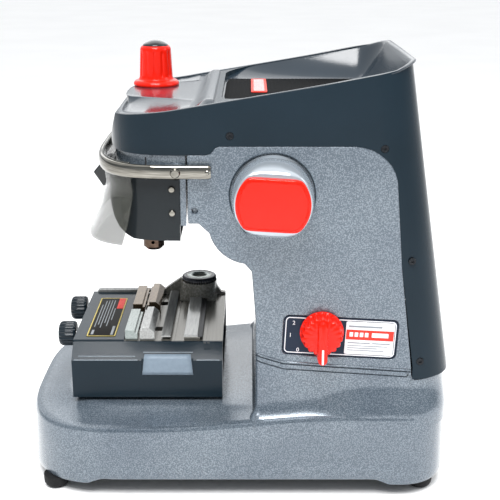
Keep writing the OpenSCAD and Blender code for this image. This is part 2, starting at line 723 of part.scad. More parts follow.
// ---- feed handle ----
grip_flat = 24.5;
module grip(r, flat, h) intersection() {
  cylinder(h = h, r = r);
  translate([0, 0, h / 2]) rotate([0, 0, handle_tilt]) cube([4 * r, 2 * flat, h], true);
}
handle_tilt = -3.5;
cap_t = 5;
handle_face = column_half + handle_out;
module handle_hub() color(silver) on_side(handle_x, -column_half + 2.4, handle_z) {
  cylinder(h = 10, r = handle_r);
  translate([0, 0, 10]) cylinder(h = 6, r1 = handle_r, r2 = handle_r - 2);
  translate([0, 0, 16]) grip(handle_r - 2, grip_flat, handle_out - cap_t - 13.6);
}
module handle_cap() color(red) on_side(handle_x, cap_t - handle_face, handle_z)
  grip(handle_r - 4, grip_flat - 1.5, cap_t);
module handle_shaft() color(steel) {
  translate([handle_x, 0, handle_z]) rotate([90, 0, 0])
    translate([0, 0, rack_y0 - 6]) cylinder(h = column_half - 2.4 - rack_y0 + 6, r = shaft_r);
  // pinion, with a gap facing the rack's tooth
  translate([handle_x, -rack_y0 - 1, handle_z]) rotate([90, 0, 0])
    linear_extrude(rack_y1 - rack_y0 - 2) {
      circle(pinion_r - 1.2 * module_mm);
      for (i = [0 : pinion_teeth - 1]) rotate((i + 0.5) * 360 / pinion_teeth)
        translate([pinion_r - 1.25 * module_mm, 0])
        tooth_shape(1.25 * module_mm, 0.9 * module_mm);
    }
}

// ---- splash guard ----
pivot_x = -51.5;
pin_r = 3;
rail_in_len = 80;
rail_in_half = column_half + 3.5;
rail_end_x = -21.5;
module guard_rail() color("#c9cccf") difference() {
  translate([0, 0, rail_z - rail_h / 2]) linear_extrude(rail_h) difference() {
    nose_plan(rail_in_len + rail_t, rail_in_half + rail_t, rail_end_x);
    nose_plan(rail_in_len, rail_in_half, rail_end_x + 10);
  }
  translate([pivot_x, 0, rail_z]) rotate([90, 0, 0])
    cylinder(h = 400, r = pin_r + fit_gap, center = true);
}
module guard_pivots() color("#d5d7d8") for (y = [-1, 1]) mirror_far(y > 0)
  on_side(pivot_x, -head_half + 12, rail_z) {
    cylinder(h = rail_in_half + rail_t - head_half + 13, r = pin_r);
    translate([0, 0, rail_in_half + rail_t - head_half + 12.6])
      cylinder(h = 2.2, r1 = 4.6, r2 = 3.4);
  }
shield_z0 = 237;
shield_waist = 264;
shield_cut_x = -98;
shield_len = rail_in_len - 0.1;
module shield_ring(len, half, t) intersection() {
  difference() {
    nose_plan(len, half, -30);
    nose_plan(len - t, half - t, -20);
  }
  translate([-200, -110]) square([200 + shield_cut_x, 220]);
}
module guard_shield() color([0.75, 0.77, 0.76, 0.45]) {
  translate([0, 0, shield_waist]) linear_extrude(rail_z - shield_waist)
    shield_ring(shield_len, rail_in_half - 0.2, shield_t);
  // flared skirt in steps of equal height
  steps = 9;
  for (i = [0 : steps - 1]) translate([0, 0, shield_z0 + i * (shield_waist - shield_z0) / steps])
    linear_extrude((shield_waist - shield_z0) / steps + 0.01)
    shield_ring(shield_len + 15 * pow(1 - i / steps, 1.6), rail_in_half - 0.2, shield_t);
}
module guard_tab() color(black) slab([[-122, 296], [-128.5, 294], [-137, 284], [-128, 270],
  [-122, 274]], 16);

// ---- cross table ----
table_x0 = -155.5;
table_x1 = table_x0 + table_l;
// the saddle stays clear inside the housing over the table's whole travel
saddle_x0 = table_x0 + table_wall + table_travel_x + 2;
saddle_x1 = table_x1 - table_wall - table_travel_x - 2;
rail_x1 = saddle_x0 + 12;
rail_x2 = saddle_x1 - 12;
rail_top = deck_z + 8;
saddle_z = rail_top + 6;
module saddle_rail(x) color(steel)
  translate([x - 6, -saddle_rail_half, deck_z])
    cube([12, 2 * saddle_rail_half, rail_top - deck_z]);
saddle_rail_half = table_w / 2 - table_wall - table_travel_y - 4;
saddle_half = 50;
x_rail_y = 38;
x_rail_top = saddle_z + 12;
module saddle() color("#7c8288") {
  difference() {
    translate([saddle_x0, -saddle_half, deck_z + 3])
      cube([saddle_x1 - saddle_x0, 2 * saddle_half, saddle_z - deck_z - 3]);
    for (x = [rail_x1, rail_x2]) translate([x - 6.3, -60, deck_z])
      cube([12.6, 120, rail_top - deck_z + 0.3]);
    translate([rail_x1 + 14, -60, deck_z]) cube([rail_x2 - rail_x1 - 28, 120, 10]);
  }
  for (y = [-1, 1]) translate([rail_x1 - 2, y * x_rail_y - 5, saddle_z])
    cube([rail_x2 - rail_x1 + 4, 10, x_rail_top - saddle_z]);
}

plate_x0 = -107.5;
body_x0 = table_x0 + 23;
bevel_y = 67;
slot_half = 5;
hood_step = 2;
module vice_places(sides) for (y = sides) translate([0, y * spindle_y, 0]) children();
module table_plate() color("#a9adb0") difference() {
  union() {
    translate([plate_x0, -bevel_y + 2, table_z - 5])
      cube([table_x1 - plate_x0, 2 * bevel_y - 4, 5]);
    // body of the table, with channels for the cross rails
    translate([body_x0, -50, saddle_z + 4])
      cube([table_x1 - 16 - body_x0, 100, table_z - 5 - saddle_z - 4 + 0.01]);
    // sloped pad that shows through the housing's pocket
    translate([pocket_x0 - 2, 0, 0]) rotate([90, 0, 90])
      linear_extrude(pocket_x1 - pocket_x0 + 4)
      polygon([[pad_y, table_side_z - 14], [pad_y, table_side_z - 8.5],
        [-bevel_y - 1.4, table_z - 6.2], [-bevel_y + 3, table_z - 3.6], [-49, table_z - 4.9],
        [-49, table_side_z - 14]]);
    // raised bar across the table
    translate([-51, -bevel_y + 4, table_z]) cube([15, 2 * bevel_y - 10, 4]);
    // stepped scale strip
    translate([jaw_x1 + jaw_travel + 0.4, -bevel_y + 4, table_z]) cube([9, 2 * bevel_y - 10, 0.8]);
  }
  for (y = [-1, 1]) translate([-200, y * x_rail_y - 5.3, 0])
    cube([300, 10.6, x_rail_top + 0.3]);
  // a slot for each moving jaw's tongue and its screw
  vice_places([-1, 1]) {
    translate([-200, -slot_half - 0.3, screw_z - tongue_drop - 0.5])
      cube([200 + jaw_x1 + jaw_travel + 1, 2 * slot_half + 0.6, 40]);
  }
  // grooves in the table face
  for (x = [-60, -30]) translate([x, -100, table_z - 0.8]) cube([1.4, 200, 2]);
}

pocket_x0 = -90;
pocket_x1 = -41.5;
pocket_z0 = 103.5;
pocket_z1 = 124.5;
pad_y = table_wall + 0.4 - table_w / 2;
module table_housing() color(slate) difference() {
  union() {
    // side walls, bevels and top, carried along the table
    translate([table_x0, 0, 0]) rotate([90, 0, 90]) linear_extrude(table_l)
      polygon([[-table_w / 2, deck_z + table_gap], [table_w / 2, deck_z + table_gap],
        [table_w / 2, table_side_z], [bevel_y, table_z], [-bevel_y, table_z],
        [-table_w / 2, table_side_z]]);
    // hood over the clamp screws
    translate([table_x0, -bevel_y, table_z - 1])
      cube([plate_x0 - table_x0, 2 * bevel_y, hood_step + 1]);
  }
  // hollow
  translate([table_x0 + table_wall, 0, 0]) rotate([90, 0, 90])
    linear_extrude(table_l - 2 * table_wall)
    polygon([[table_wall - table_w / 2, 0], [table_w / 2 - table_wall, 0],
      [table_w / 2 - table_wall, table_side_z - 2], [bevel_y - 1, table_z - table_wall],
      [1 - bevel_y, table_z - table_wall], [table_wall - table_w / 2, table_side_z - 2]]);
  translate([table_x0 + table_wall, -bevel_y + 4, table_z - 10])
    cube([plate_x0 - table_x0, 2 * bevel_y - 8, 10 + hood_step - table_wall]);
  // the metal table shows through the top
  translate([plate_x0 - 0.3, -bevel_y + 1.7, 90]) cube([200, 2 * bevel_y - 3.4, 80]);
  // screws of the two vices
  vice_places([-1, 1]) translate([table_x0 - 5, 0, screw_z]) rotate([0, 90, 0])
    cylinder(h = 20, r = screw_shaft_r + 0.6);
  // sloped pocket in the near bevel
  translate([pocket_x0, 0, 0]) rotate([90, 0, 90]) linear_extrude(pocket_x1 - pocket_x0)
    polygon([[-table_w / 2 - 1, pocket_z0], [-table_w / 2 + 0.4, pocket_z0],
      [-table_w / 2 + 1.9, pocket_z1], [-table_w / 2 - 1, pocket_z1]]);
  // vent slots low in the back wall
  for (i = [-3 : 3]) translate([table_x1 - 1, i * 16, 95]) cube([8, 9, 4], true);
}
module table_label() color("#15140f")
  translate([-130.5, -7.5, table_z + hood_step]) linear_extrude(0.4) rrect(28, 105, 1.5);

// ---- vices ----
fixed_x0 = -107;
fixed_x1 = -95;
jaw_x0 = fixed_x1 + 2;
jaw_x1 = -79;
screw_z = table_z - 4.5;
screw_shaft_r = 3.2;
tongue_drop = 5.5;
module jaw_block(x0, x1) intersection() {
  translate([x0, -jaw_w / 2, table_z + 0.3]) cube([x1 - x0, jaw_w, jaw_h]);
  translate([0, jaw_w, table_z]) rotate([90, 0, 0]) linear_extrude(2 * jaw_w)
    polygon([[x0, 0], [x1, 0], [x1, jaw_h - 4], [x1 - 5, jaw_h + 0.3], [x0, jaw_h + 0.3]]);
}
module fixed_jaw(side) color("#b9b4a8") vice_places([side]) difference() {
  union() {
    translate([fixed_x0, -jaw_w / 2, table_z]) cube([fixed_x1 - fixed_x0, jaw_w, jaw_h - 2]);
    translate([fixed_x0, -jaw_w / 2, table_z]) cube([5, jaw_w, jaw_h - 5]);
  }
  // key rest along the jaw's inner edge
  translate([fixed_x1 - 2.5, -jaw_w, table_z + jaw_h - 5]) cube([5, 2 * jaw_w, 10]);
}
module moving_jaw(side) color("#cfd1d0") vice_places([side]) difference() {
  union() {
    jaw_block(jaw_x0, jaw_x1);
    translate([jaw_x0, -slot_half, screw_z - tongue_drop])
      cube([jaw_x1 - jaw_x0, 2 * slot_half, table_z + 0.4 - screw_z + tongue_drop]);
  }
  translate([jaw_x0, -jaw_w, table_z + jaw_h - 3]) cube([2.5, 2 * jaw_w, 10]);
  translate([jaw_x0 - 1, 0, screw_z]) rotate([0, 90, 0])
    cylinder(h = 60, r = screw_shaft_r + fit_gap);
}
module clamp_screw(side) color(steel) vice_places([side])
  translate([clamp_x0 + clamp_l - 3, 0, screw_z]) rotate([0, 90, 0])
  cylinder(h = jaw_x1 - 2 - clamp_x0 - clamp_l + 3, r = screw_shaft_r);
clamp_x0 = -174.5;
module clamp_knob(side) color(slate) vice_places([side])
  translate([clamp_x0, 0, screw_z]) rotate([0, 90, 0]) difference() {
    union() {
      cylinder(h = 2, r1 = clamp_d / 2 - 2, r2 = clamp_d / 2);
      translate([0, 0, 2]) cylinder(h = clamp_l - 2, r = clamp_d / 2);
    }
    for (a = [0 : 20 : 340]) rotate(a)
      translate([clamp_d / 2 + 0.7, 0, -1]) cylinder(h = clamp_l - 2, r = 1.5);
    translate([0, 0, clamp_l - 3]) cylinder(h = 10, r = screw_shaft_r);
  }

// ---- lever socket at the far side of the table ----
socket_x = -42;
socket_y = 56;
socket_r = 17.5;
socket_top = 157;
bracket_y = bevel_y - 3;
module lever_socket() color("#7f8284") difference() {
  union() {
    translate([socket_x, socket_y, table_z + 4.2]) cylinder(h = socket_top - table_z - 7.2,
      r = socket_r);
    translate([socket_x, socket_y, socket_top - 3])
      cylinder(h = 3, r1 = socket_r, r2 = socket_r - 3);
    // bracket along the far edge of the table
    translate([socket_x, bracket_y + 6, table_z]) rotate([90, 0, 0]) linear_extrude(6)
      polygon([[-38, 0.4], [-38, 5], [-30, 11], [-20, 18], [16.5, 18], [18, 10], [23, 2.6],
        [table_x1 - socket_x, 1.8], [table_x1 - socket_x, 0.4]]);
    // ramp from the table up to the socket
    difference() {
      translate([socket_x - 20, 0, table_z]) rotate([90, 0, 90]) linear_extrude(38)
        polygon([[bracket_y - 22, 0.1], [bracket_y - 22, 1], [bracket_y - 7, 13],
          [bracket_y, 18], [bracket_y + 1, 18], [bracket_y + 1, 0.4], [bracket_y, 0.1]]);
      translate([-51.2, 0, table_z - 1]) cube([15.4, 2 * bevel_y, 5.2]);
    }
  }
  translate([socket_x, socket_y, socket_top - 3]) cylinder(h = 5, r = 9.5);
  translate([socket_x, socket_y, socket_top - 22]) cylinder(h = 30, r = lever_bore_r);
}

base_casting();
bottom_plate();
foot(-1, -1);  // foot_front_near
foot(-1, 1);  // foot_front_far
foot(1, -1);  // foot_back_near
foot(1, 1);  // foot_back_far
column_casting();
top_cover();
tray_mat();
tray_strip();
cover_screws();
guide_rod(false);  // guide_rod_near
guide_rod(true);  // guide_rod_far
rod_bridge();
knob_bush();
selector_panel();
panel_label();
selector_switch();
power_inlet();
power_supply();
saddle_rail(rail_x1);  // saddle_rail_front
saddle_rail(rail_x2);  // saddle_rail_back
head_casting();
head_shroud();
shroud_screws();
head_slide();
feed_rack();
bearing(housing_z);  // cutter_bearing_low
bearing(band_z1 - 12);  // cutter_bearing_top
tracer_bush();
motor_can();
drive_belt();
work_lamp();
guard_pivots();
cutter_spindle();
cutter_pulley();
motor_pulley();
tracer_quill();
depth_knob();
depth_cap();
handle_hub();
handle_cap();
handle_shaft();
guard_rail();
guard_shield();
guard_tab();
saddle();
table_plate();
table_housing();
table_label();
fixed_jaw(-1);  // fixed_jaw_near
fixed_jaw(1);  // fixed_jaw_far
lever_socket();
moving_jaw(-1);  // moving_jaw_near
moving_jaw(1);  // moving_jaw_far
clamp_screw(-1);  // clamp_screw_near
clamp_screw(1);  // clamp_screw_far
clamp_knob(-1);  // clamp_knob_near
clamp_knob(1);  // clamp_knob_far
selector_knob();
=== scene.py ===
import math
import bpy
import bmesh
import numpy as np
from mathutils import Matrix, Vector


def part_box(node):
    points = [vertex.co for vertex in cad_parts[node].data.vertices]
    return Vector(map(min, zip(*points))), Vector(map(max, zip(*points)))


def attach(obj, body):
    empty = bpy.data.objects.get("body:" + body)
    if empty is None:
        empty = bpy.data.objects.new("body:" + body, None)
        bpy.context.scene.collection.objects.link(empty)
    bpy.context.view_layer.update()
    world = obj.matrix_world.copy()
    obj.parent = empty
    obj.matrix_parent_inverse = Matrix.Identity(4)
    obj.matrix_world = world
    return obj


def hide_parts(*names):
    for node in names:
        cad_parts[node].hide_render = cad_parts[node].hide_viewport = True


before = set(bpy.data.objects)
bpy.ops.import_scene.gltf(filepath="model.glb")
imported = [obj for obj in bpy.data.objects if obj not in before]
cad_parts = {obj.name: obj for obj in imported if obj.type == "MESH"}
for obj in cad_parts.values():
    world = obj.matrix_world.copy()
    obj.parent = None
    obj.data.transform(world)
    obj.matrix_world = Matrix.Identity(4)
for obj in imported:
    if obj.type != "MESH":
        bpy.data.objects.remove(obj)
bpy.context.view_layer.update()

# ---- Camera, floor and light ----
# The machine stands on a plain pale floor under soft studio light, seen from the side of the
# feed handle, level with the top cover and looking down a little.
view = bpy.data.cameras.new("view")
view.lens = 72
view.sensor_width = 36
camera = bpy.data.objects.new("view", view)
camera.location = (0.0115, -0.942, 0.4985)
camera.rotation_euler = (math.radians(72.5), 0, 0)
bpy.context.scene.collection.objects.link(camera)
bpy.context.scene.camera = camera
bpy.context.scene.view_settings.view_transform = "Standard"


def paint(code):
    """Linear RGBA of an sRGB hex colour: v / 12.92 when dark, else ((v + 0.055) / 1.055) ^ 2.4."""
    c = np.array([int(code[i:i + 2], 16) for i in (1, 3, 5)]) / 255
    lin = np.where(c <= 0.04045, c / 12.92, ((c + 0.055) / 1.055) ** 2.4)
    return (*[float(v) for v in lin], 1.0)


def add_node(tree, kind, inputs=(), stops=(), **settings):
    """Adds one node with its settings, and sets or links its inputs by name or number. Stops
    are (place, hex colour) pairs for a node with a colour band."""
    node = tree.nodes.new(kind)
    for key, value in settings.items():
        setattr(node, key, value)
    for k, (place, code) in enumerate(stops):
        if k == len(node.color_ramp.elements):
            node.color_ramp.elements.new(1.0)
        node.color_ramp.elements[k].position = place
        node.color_ramp.elements[k].color = paint(code)
    for key, value in dict(inputs).items():
        if isinstance(value, bpy.types.NodeSocket):
            tree.links.new(value, node.inputs[key])
        else:
            node.inputs[key].default_value = value
    return node


def new_finish(name):
    """An empty node material and its tree."""
    material = bpy.data.materials.new(name)
    material.use_nodes = True
    material.node_tree.nodes.clear()
    return material, material.node_tree


def close_finish(tree, colour, roughness, bump=None, bump_height=0.0001, **sockets):
    """Ends a finish with its shader and output. Colour and roughness are a link, a number, or a
    factor with its (place, hex colour) stops; sockets name more inputs with _ for a space."""
    inputs = {"Base Color": colour, "Roughness": roughness}
    for key, value in inputs.items():
        if isinstance(value, tuple):
            inputs[key] = add_node(tree, "ShaderNodeValToRGB", {"Fac": value[0]},
                                   value[1:]).outputs["Color"]
    for key, value in sockets.items():
        inputs[key.replace("_", " ")] = value
    if bump is not None:
        inputs["Normal"] = add_node(
            tree, "ShaderNodeBump",
            {"Height": bump, "Distance": bump_height, "Strength": 1.0}).outputs["Normal"]
    shader = add_node(tree, "ShaderNodeBsdfPrincipled", inputs)
    add_node(tree, "ShaderNodeOutputMaterial", {"Surface": shader.outputs["BSDF"]})


floor_paint, t = new_finish("floor_matt_white")
where = add_node(t, "ShaderNodeTexCoord").outputs["Object"]
cloud = add_node(t, "ShaderNodeTexNoise", {"Vector": where, "Scale": 3.0}).outputs["Fac"]
close_finish(t, (cloud, (0.3, "#fbfbfb"), (0.7, "#ffffff")), 0.7, Specular_IOR_Level=0.2)
floor_mesh = bpy.data.meshes.new("floor")
floor_half = 20
floor_mesh.from_pydata([(-floor_half, -floor_half, 0), (floor_half, -floor_half, 0),
                        (floor_half, floor_half, 0), (-floor_half, floor_half, 0)], [],
                       [(0, 1, 2, 3)])
floor = bpy.data.objects.new("floor", floor_mesh)
floor_mesh.materials.append(floor_paint)
bpy.context.scene.collection.objects.link(floor)

# Soft sky: bright overhead and behind the machine, dimmer at eye level in front, so that upright
# faces stay deep in colour
sky = bpy.data.worlds.new("studio")
sky.use_nodes = True
sky.node_tree.nodes.clear()
t = sky.node_tree
up = add_node(t, "ShaderNodeVectorMath", {
    0: add_node(t, "ShaderNodeTexCoord").outputs["Generated"], 1: (0.0, 0.3, 1.0)},
    operation="DOT_PRODUCT").outputs["Value"]
sky_band = add_node(t, "ShaderNodeValToRGB", {"Fac": up}, (
    (0.0, "#a3a8ac"), (0.2, "#7d8286"), (0.5, "#f4f7fa"), (1.0, "#ffffff"))).outputs["Color"]
add_node(t, "ShaderNodeOutputWorld", {"Surface": add_node(
    t, "ShaderNodeBackground", {"Color": sky_band, "Strength": 1.12}).outputs["Background"]})
bpy.context.scene.world = sky

for name, place, turn, size, power in (
        ("key_light", (-0.12, -0.85, 1.7), (30, 0, -6), 0.9, 40.0),
        ("side_light", (1.3, -0.2, 1.0), (60, 0, 80), 0.8, 5.0),
        ("back_light", (-0.1, 1.5, 1.35), (-48, 0, 4), 1.6, 9.0)):
    lamp = bpy.data.lights.new(name, "AREA")
    lamp.energy = power
    lamp.size = size
    lamp_object = bpy.data.objects.new(name, lamp)
    lamp_object.location = place
    lamp_object.rotation_euler = [math.radians(v) for v in turn]
    bpy.context.scene.collection.objects.link(lamp_object)

# ---- Base ----
# One hollow aluminium casting under hammertone silver paint: a low box with a rounded nose, a
# crease all round its side wall, a sloping shoulder up to a glossy flat deck, and a raised block
# at the back that the column stands on. It stands on four domed rubber feet.


def span(*nodes):
    """Lowest and highest corner of some CAD nodes together, in mm."""
    boxes = np.array([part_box(n) for n in nodes]) * 1000
    return boxes[:, 0].min(0), boxes[:, 1].max(0)


def surface(name, *grids, weld=0.02, sharp=32):
    """A mesh from grids of points in mm, each rows x columns x 3: a quad for every cell, with
    points nearer than weld merged, empty faces dropped, normals turned outwards, and edges
    sharper than the angle kept sharp."""
    points = []
    quads = []
    start = 0
    for grid in grids:
        grid = np.asarray(grid, float)
        rows, columns = grid.shape[:2]
        index = start + np.arange(rows * columns).reshape(rows, columns)
        quads.append(np.stack([index[:-1, :-1], index[:-1, 1:], index[1:, 1:], index[1:, :-1]],
                              -1).reshape(-1, 4))
        points.append(grid.reshape(-1, 3))
        start += rows * columns
    mesh = bpy.data.meshes.new(name)
    mesh.from_pydata(np.concatenate(points) / 1000, [], np.concatenate(quads).tolist())
    tidy = bmesh.new()
    tidy.from_mesh(mesh)
    bmesh.ops.remove_doubles(tidy, verts=tidy.verts, dist=weld / 1000)
    bmesh.ops.dissolve_degenerate(tidy, edges=tidy.edges, dist=1e-7)
    bmesh.ops.recalc_face_normals(tidy, faces=tidy.faces)
    tidy.to_mesh(mesh)
    tidy.free()
    mesh.polygons.foreach_set("use_smooth", np.ones(len(mesh.polygons), bool))
    mesh.set_sharp_from_angle(angle=math.radians(sharp))
    return mesh


def put(mesh, material, body, slot, *nodes):
    """Makes the mesh a piece that rides on a body, takes the material given, and stands for
    the CAD nodes named. The slot is not used."""
    mesh.materials.clear()
    mesh.materials.append(material)
    piece = bpy.data.objects.new(mesh.name, mesh)
    bpy.context.scene.collection.objects.link(piece)
    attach(piece, body)
    if nodes:
        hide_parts(*nodes)
    return piece


def ease(a, b, x):
    """0 below a, 1 above b, and 3 t^2 - 2 t^3 between them."""
    t = np.clip((x - a) / (b - a), 0, 1)
    return t * t * (3 - 2 * t)


base_lo, base_hi = span("base_casting")
deck_z = span("saddle_rail_front")[0][2]
column_x = 16.5
base_half = base_hi[1]
nose_len = 111
nose_power = 3.3
back_radius = 42
crease_drop = 8
crease_depth = 5.2
shoulder = 36


def base_plan(inset):
    """Outline of the base, moved in by inset (one value, or one for each point): a superellipse
    |x/L|^n + |y/H|^n = 1 in front, straight sides, and quarter circles at the back. Closed."""
    a = np.radians(np.arange(90, -91, -3.0))
    straight = np.linspace(base_lo[0] + nose_len, base_hi[0] - back_radius, 42)[1:]
    b = np.radians(np.arange(-80, 91, 10.0))
    n = len(a) + 2 * len(straight) + len(b)
    inset = np.broadcast_to(inset, n + 1)[:n]
    cut = np.cumsum([len(a), len(straight), 9])
    d = np.split(inset, [*cut, cut[2] + 9])
    half = base_half
    front = np.stack([base_lo[0] + nose_len - (nose_len - d[0]) * np.cos(a) ** (2 / nose_power),
                      (half - d[0]) * np.sign(np.sin(a))
                      * np.abs(np.sin(a)) ** (2 / nose_power)], -1)
    near = np.stack([straight, d[1] - half], -1)
    corner = b[:9]
    near_back = np.stack([base_hi[0] - back_radius + (back_radius - d[2]) * np.cos(corner),
                          back_radius - half + (back_radius - d[2]) * np.sin(corner)], -1)
    corner = b[9:]
    far_back = np.stack([base_hi[0] - back_radius + (back_radius - d[3]) * np.cos(corner),
                         half - back_radius + (back_radius - d[3]) * np.sin(corner)], -1)
    far = np.stack([straight[::-1], half - d[4]], -1)
    ring = np.concatenate([front, near, near_back, far_back, far])
    return np.concatenate([ring, ring[:1]])


edge = base_plan(0.0)
# the lower edge arches up between the feet; the crease climbs towards the back and fades
arch_rise = 5.5
arch = arch_rise * ease(0, 16, 142 - np.abs(edge[:, 0])) * (np.abs(edge[:, 1]) > 80)
arch += arch_rise * ease(0, 16, 72 - np.abs(edge[:, 1])) * (np.abs(edge[:, 0]) > 150)
low = base_lo[2] + arch
rise = 12 * ease(-80, 100, edge[:, 0])
crease = deck_z - crease_drop + rise
deck = np.maximum(deck_z, crease + 1)
rows = []
for depth, z in ((5.0, low + 4), (4.6, low + 0.6), (2.2, low), (0.7, low + 0.8), (0.0, low + 3.5),
                 (0.0, low + 8), (0.4, low * 0.4 + crease * 0.6), (1.2, crease - 5.0),
                 (1.7, crease - 2.6), (2.9, crease - 0.9), (crease_depth, crease)):
    rows.append(np.column_stack([base_plan(depth), z]))
for share in np.linspace(0.12, 1, 8):
    rows.append(np.column_stack([base_plan(crease_depth + (shoulder - crease_depth) * share),
                                 crease + (deck - crease) * (share - 0.10 * np.sin(np.pi * share))]))
inner = base_plan(shoulder + 30.0)
rows.append(np.column_stack([inner, deck]))
rows.append(np.column_stack([np.clip(inner[:, 0], -120, 120), 0 * inner[:, 1], deck]))
low_box = np.array(rows)


def block_plan(x0, x1, half, r0, r1, stops):
    """Closed outline of a block, with its outward direction at each point: a rectangle with
    corner radii r0 in front and r1 at the back, and points along its sides at the stops."""
    parts = []
    for cx, cy, r, a0 in ((x0 + r0, half - r0, r0, 90), (x0 + r0, r0 - half, r0, 180),
                          (x1 - r1, r1 - half, r1, 270), (x1 - r1, half - r1, r1, 0)):
        a = np.radians(np.linspace(a0, a0 + 90, 10))
        out = np.stack([np.cos(a), np.sin(a)], -1)
        parts.append(np.concatenate([[cx, cy] + r * out, out], 1))
        if a0 == 180:
            side = np.stack([stops, 0 * stops - half, 0 * stops, 0 * stops - 1], -1)
            parts.append(side)
    side = parts[2] * [1, -1, 1, -1]
    ring = np.concatenate([parts[0], parts[1], parts[2], parts[3], parts[4], side[::-1]])
    return np.concatenate([ring, ring[:1]])


column_lo, column_hi = span("column_casting")
cover_lo, cover_hi = span("top_cover")
seam_back = column_hi[0]
stops = np.concatenate([np.linspace(column_x + 8, seam_back - 0.5, 32), [seam_back + 0.5]])
block = block_plan(column_x, base_hi[0], column_hi[1], 5, 40, stops)
bx, by, nx, ny = block.T
seam = np.interp(bx, [column_x, column_x + 25, seam_back, seam_back + 0.4],
                 [base_hi[2], base_hi[2] - 8, column_lo[2], cover_lo[2] - 1])
foot_z = deck_z - 10 + 0 * bx
flare_top = np.minimum(108, seam - 6)
rows = []
for share in np.linspace(0, 1, 16):
    z = foot_z + (flare_top - foot_z) * share
    above = np.clip((z - (deck_z - crease_drop + rise.max() * ease(-80, 100, bx) - 3))
                    / (flare_top - deck_z), 0, 1)
    hollow = (1 - above) ** 3.4
    swell = 1 - ease(0, 1, above)
    spread = hollow + (swell - hollow) * ease(60, 125, bx)
    out = 11.0 * spread * np.abs(ny) + 3.0 * (1 - ease(deck_z, deck_z + 6, z)) ** 2 * (nx < -0.3)
    rows.append(np.column_stack([bx + nx * out, by + ny * out, z]))
for drop, depth in ((8.0, 0), (7.9, 1.3), (6.7, 1.3), (6.6, 0), (3.1, 0), (3.0, 1.5), (1.7, 1.5),
                    (1.6, 0), (0.5, 0), (0.0, 0.5)):
    d = np.where(bx < seam_back, depth, 0.5 * (drop == 0))
    rows.append(np.column_stack([bx - nx * d, by - ny * d, seam - drop]))
rows.append(np.column_stack([np.clip(bx, column_x + 20, 150), by * 0.4, seam]))
rows.append(np.column_stack([np.clip(bx, column_x + 20, 150), by * 0, seam]))
raised_block = np.array(rows)

# Hammertone enamel over cast aluminium: the paint draws up into beads 1 to 2 mm across, lighter on
# their crowns, so the eye gets a fine grey sparkle on a half-gloss skin.
silver_paint, t = new_finish("hammertone_silver_enamel")
where = add_node(t, "ShaderNodeTexCoord").outputs["Object"]
beads = add_node(t, "ShaderNodeTexVoronoi", {"Vector": where, "Scale": 1000.0},
                 feature="SMOOTH_F1").outputs["Distance"]
fine = add_node(t, "ShaderNodeTexNoise",
                {"Vector": where, "Scale": 1300.0, "Detail": 2.0}).outputs["Fac"]
grain = add_node(t, "ShaderNodeMath", {0: beads, 1: fine}, operation="ADD").outputs[0]
patches = add_node(t, "ShaderNodeTexNoise", {"Vector": where, "Scale": 14.0}).outputs["Fac"]
skin = add_node(t, "ShaderNodeValToRGB", {"Fac": grain}, (
    (0.5, "#848c94"), (0.85, "#6e7881"), (1.15, "#545f69"))).outputs["Color"]
tone = add_node(t, "ShaderNodeValToRGB", {"Fac": patches},
                ((0.35, "#ffffff"), (0.7, "#dfe3e8"))).outputs["Color"]
shade = add_node(t, "ShaderNodeMix", {0: 1.0, 6: skin, 7: tone}, data_type="RGBA",
                 blend_type="MULTIPLY").outputs[2]
close_finish(t, shade, (beads, (0.2, "#5a5a5a"), (0.8, "#7c7c7c")), grain, 0.00007,
             Metallic=0.3, Coat_Weight=0.6, Coat_Roughness=0.22)

put(surface("base_shell", low_box, raised_block), silver_paint, "frame", "silver_paint",
    "base_casting")


def speckled(name, grain_mm, dark, light, light_from, roughness, height, **sockets):
    """Two near colours in a speckle of the grain given, which is also the relief."""
    material, tree = new_finish(name)
    spot = add_node(tree, "ShaderNodeTexCoord").outputs["Object"]
    grit = add_node(tree, "ShaderNodeTexNoise",
                    {"Vector": spot, "Scale": 1000 / grain_mm}).outputs["Fac"]
    close_finish(tree, (grit, (0.3, dark), (light_from, light)), roughness, grit, height,
                 **sockets)
    return material


# natural rubber feet, moulded with a rounded sole round the bolt hole: dull, with a fine grit
rubber = speckled("moulded_black_rubber", 1 / 1.1, "#0c0d0e", "#1b1c1e", 0.7, 0.75, 0.0001,
                  Specular_IOR_Level=0.3)


def turned(profile, centre, axis="z", steps=48, wave=None):
    """A profile of (radius, height) points in mm turned about an axis through the centre:
    (r cos a, r sin a, h). wave(a, r, h) may change the radius with the angle. On axis x the
    height runs along +X, and on axis y along -Y."""
    profile = np.asarray(profile, float)
    a = np.linspace(0, 2 * np.pi, steps + 1)
    r = np.repeat(profile[:, :1], steps + 1, 1)
    h = np.repeat(profile[:, 1:], steps + 1, 1)
    if wave is not None:
        r = wave(a[None, :], r, h)
    c = r * np.cos(a)
    s = r * np.sin(a)
    order = {"z": (c, s, h), "x": (h, c, s), "y": (c, -h, s)}[axis]
    grid = np.stack(order, -1)
    grid[:, -1] = grid[:, 0]
    return grid + np.asarray(centre, float)


sole = [(3.2, 12), (12, 12), (12, 7), (11.6, 4.2), (10.4, 1.9), (8.6, 0.6), (6.4, 0.0),
        (3.2, 0.0), (3.2, 12)]
for corner in ("front_near", "front_far", "back_near", "back_far"):
    lo, hi = span("foot_" + corner)
    middle = (lo + hi) / 2
    put(surface("rubber_foot_" + corner, turned(sole, (middle[0], middle[1], 0))), rubber,
        "frame", "foot_rubber", "foot_" + corner)

# ---- Column and arm ----
# A deep C-shaped aluminium casting in the same hammertone paint, bolted down on the base along a
# grooved seam. Its lower and front edges are well rounded; the machined recesses are crisp.


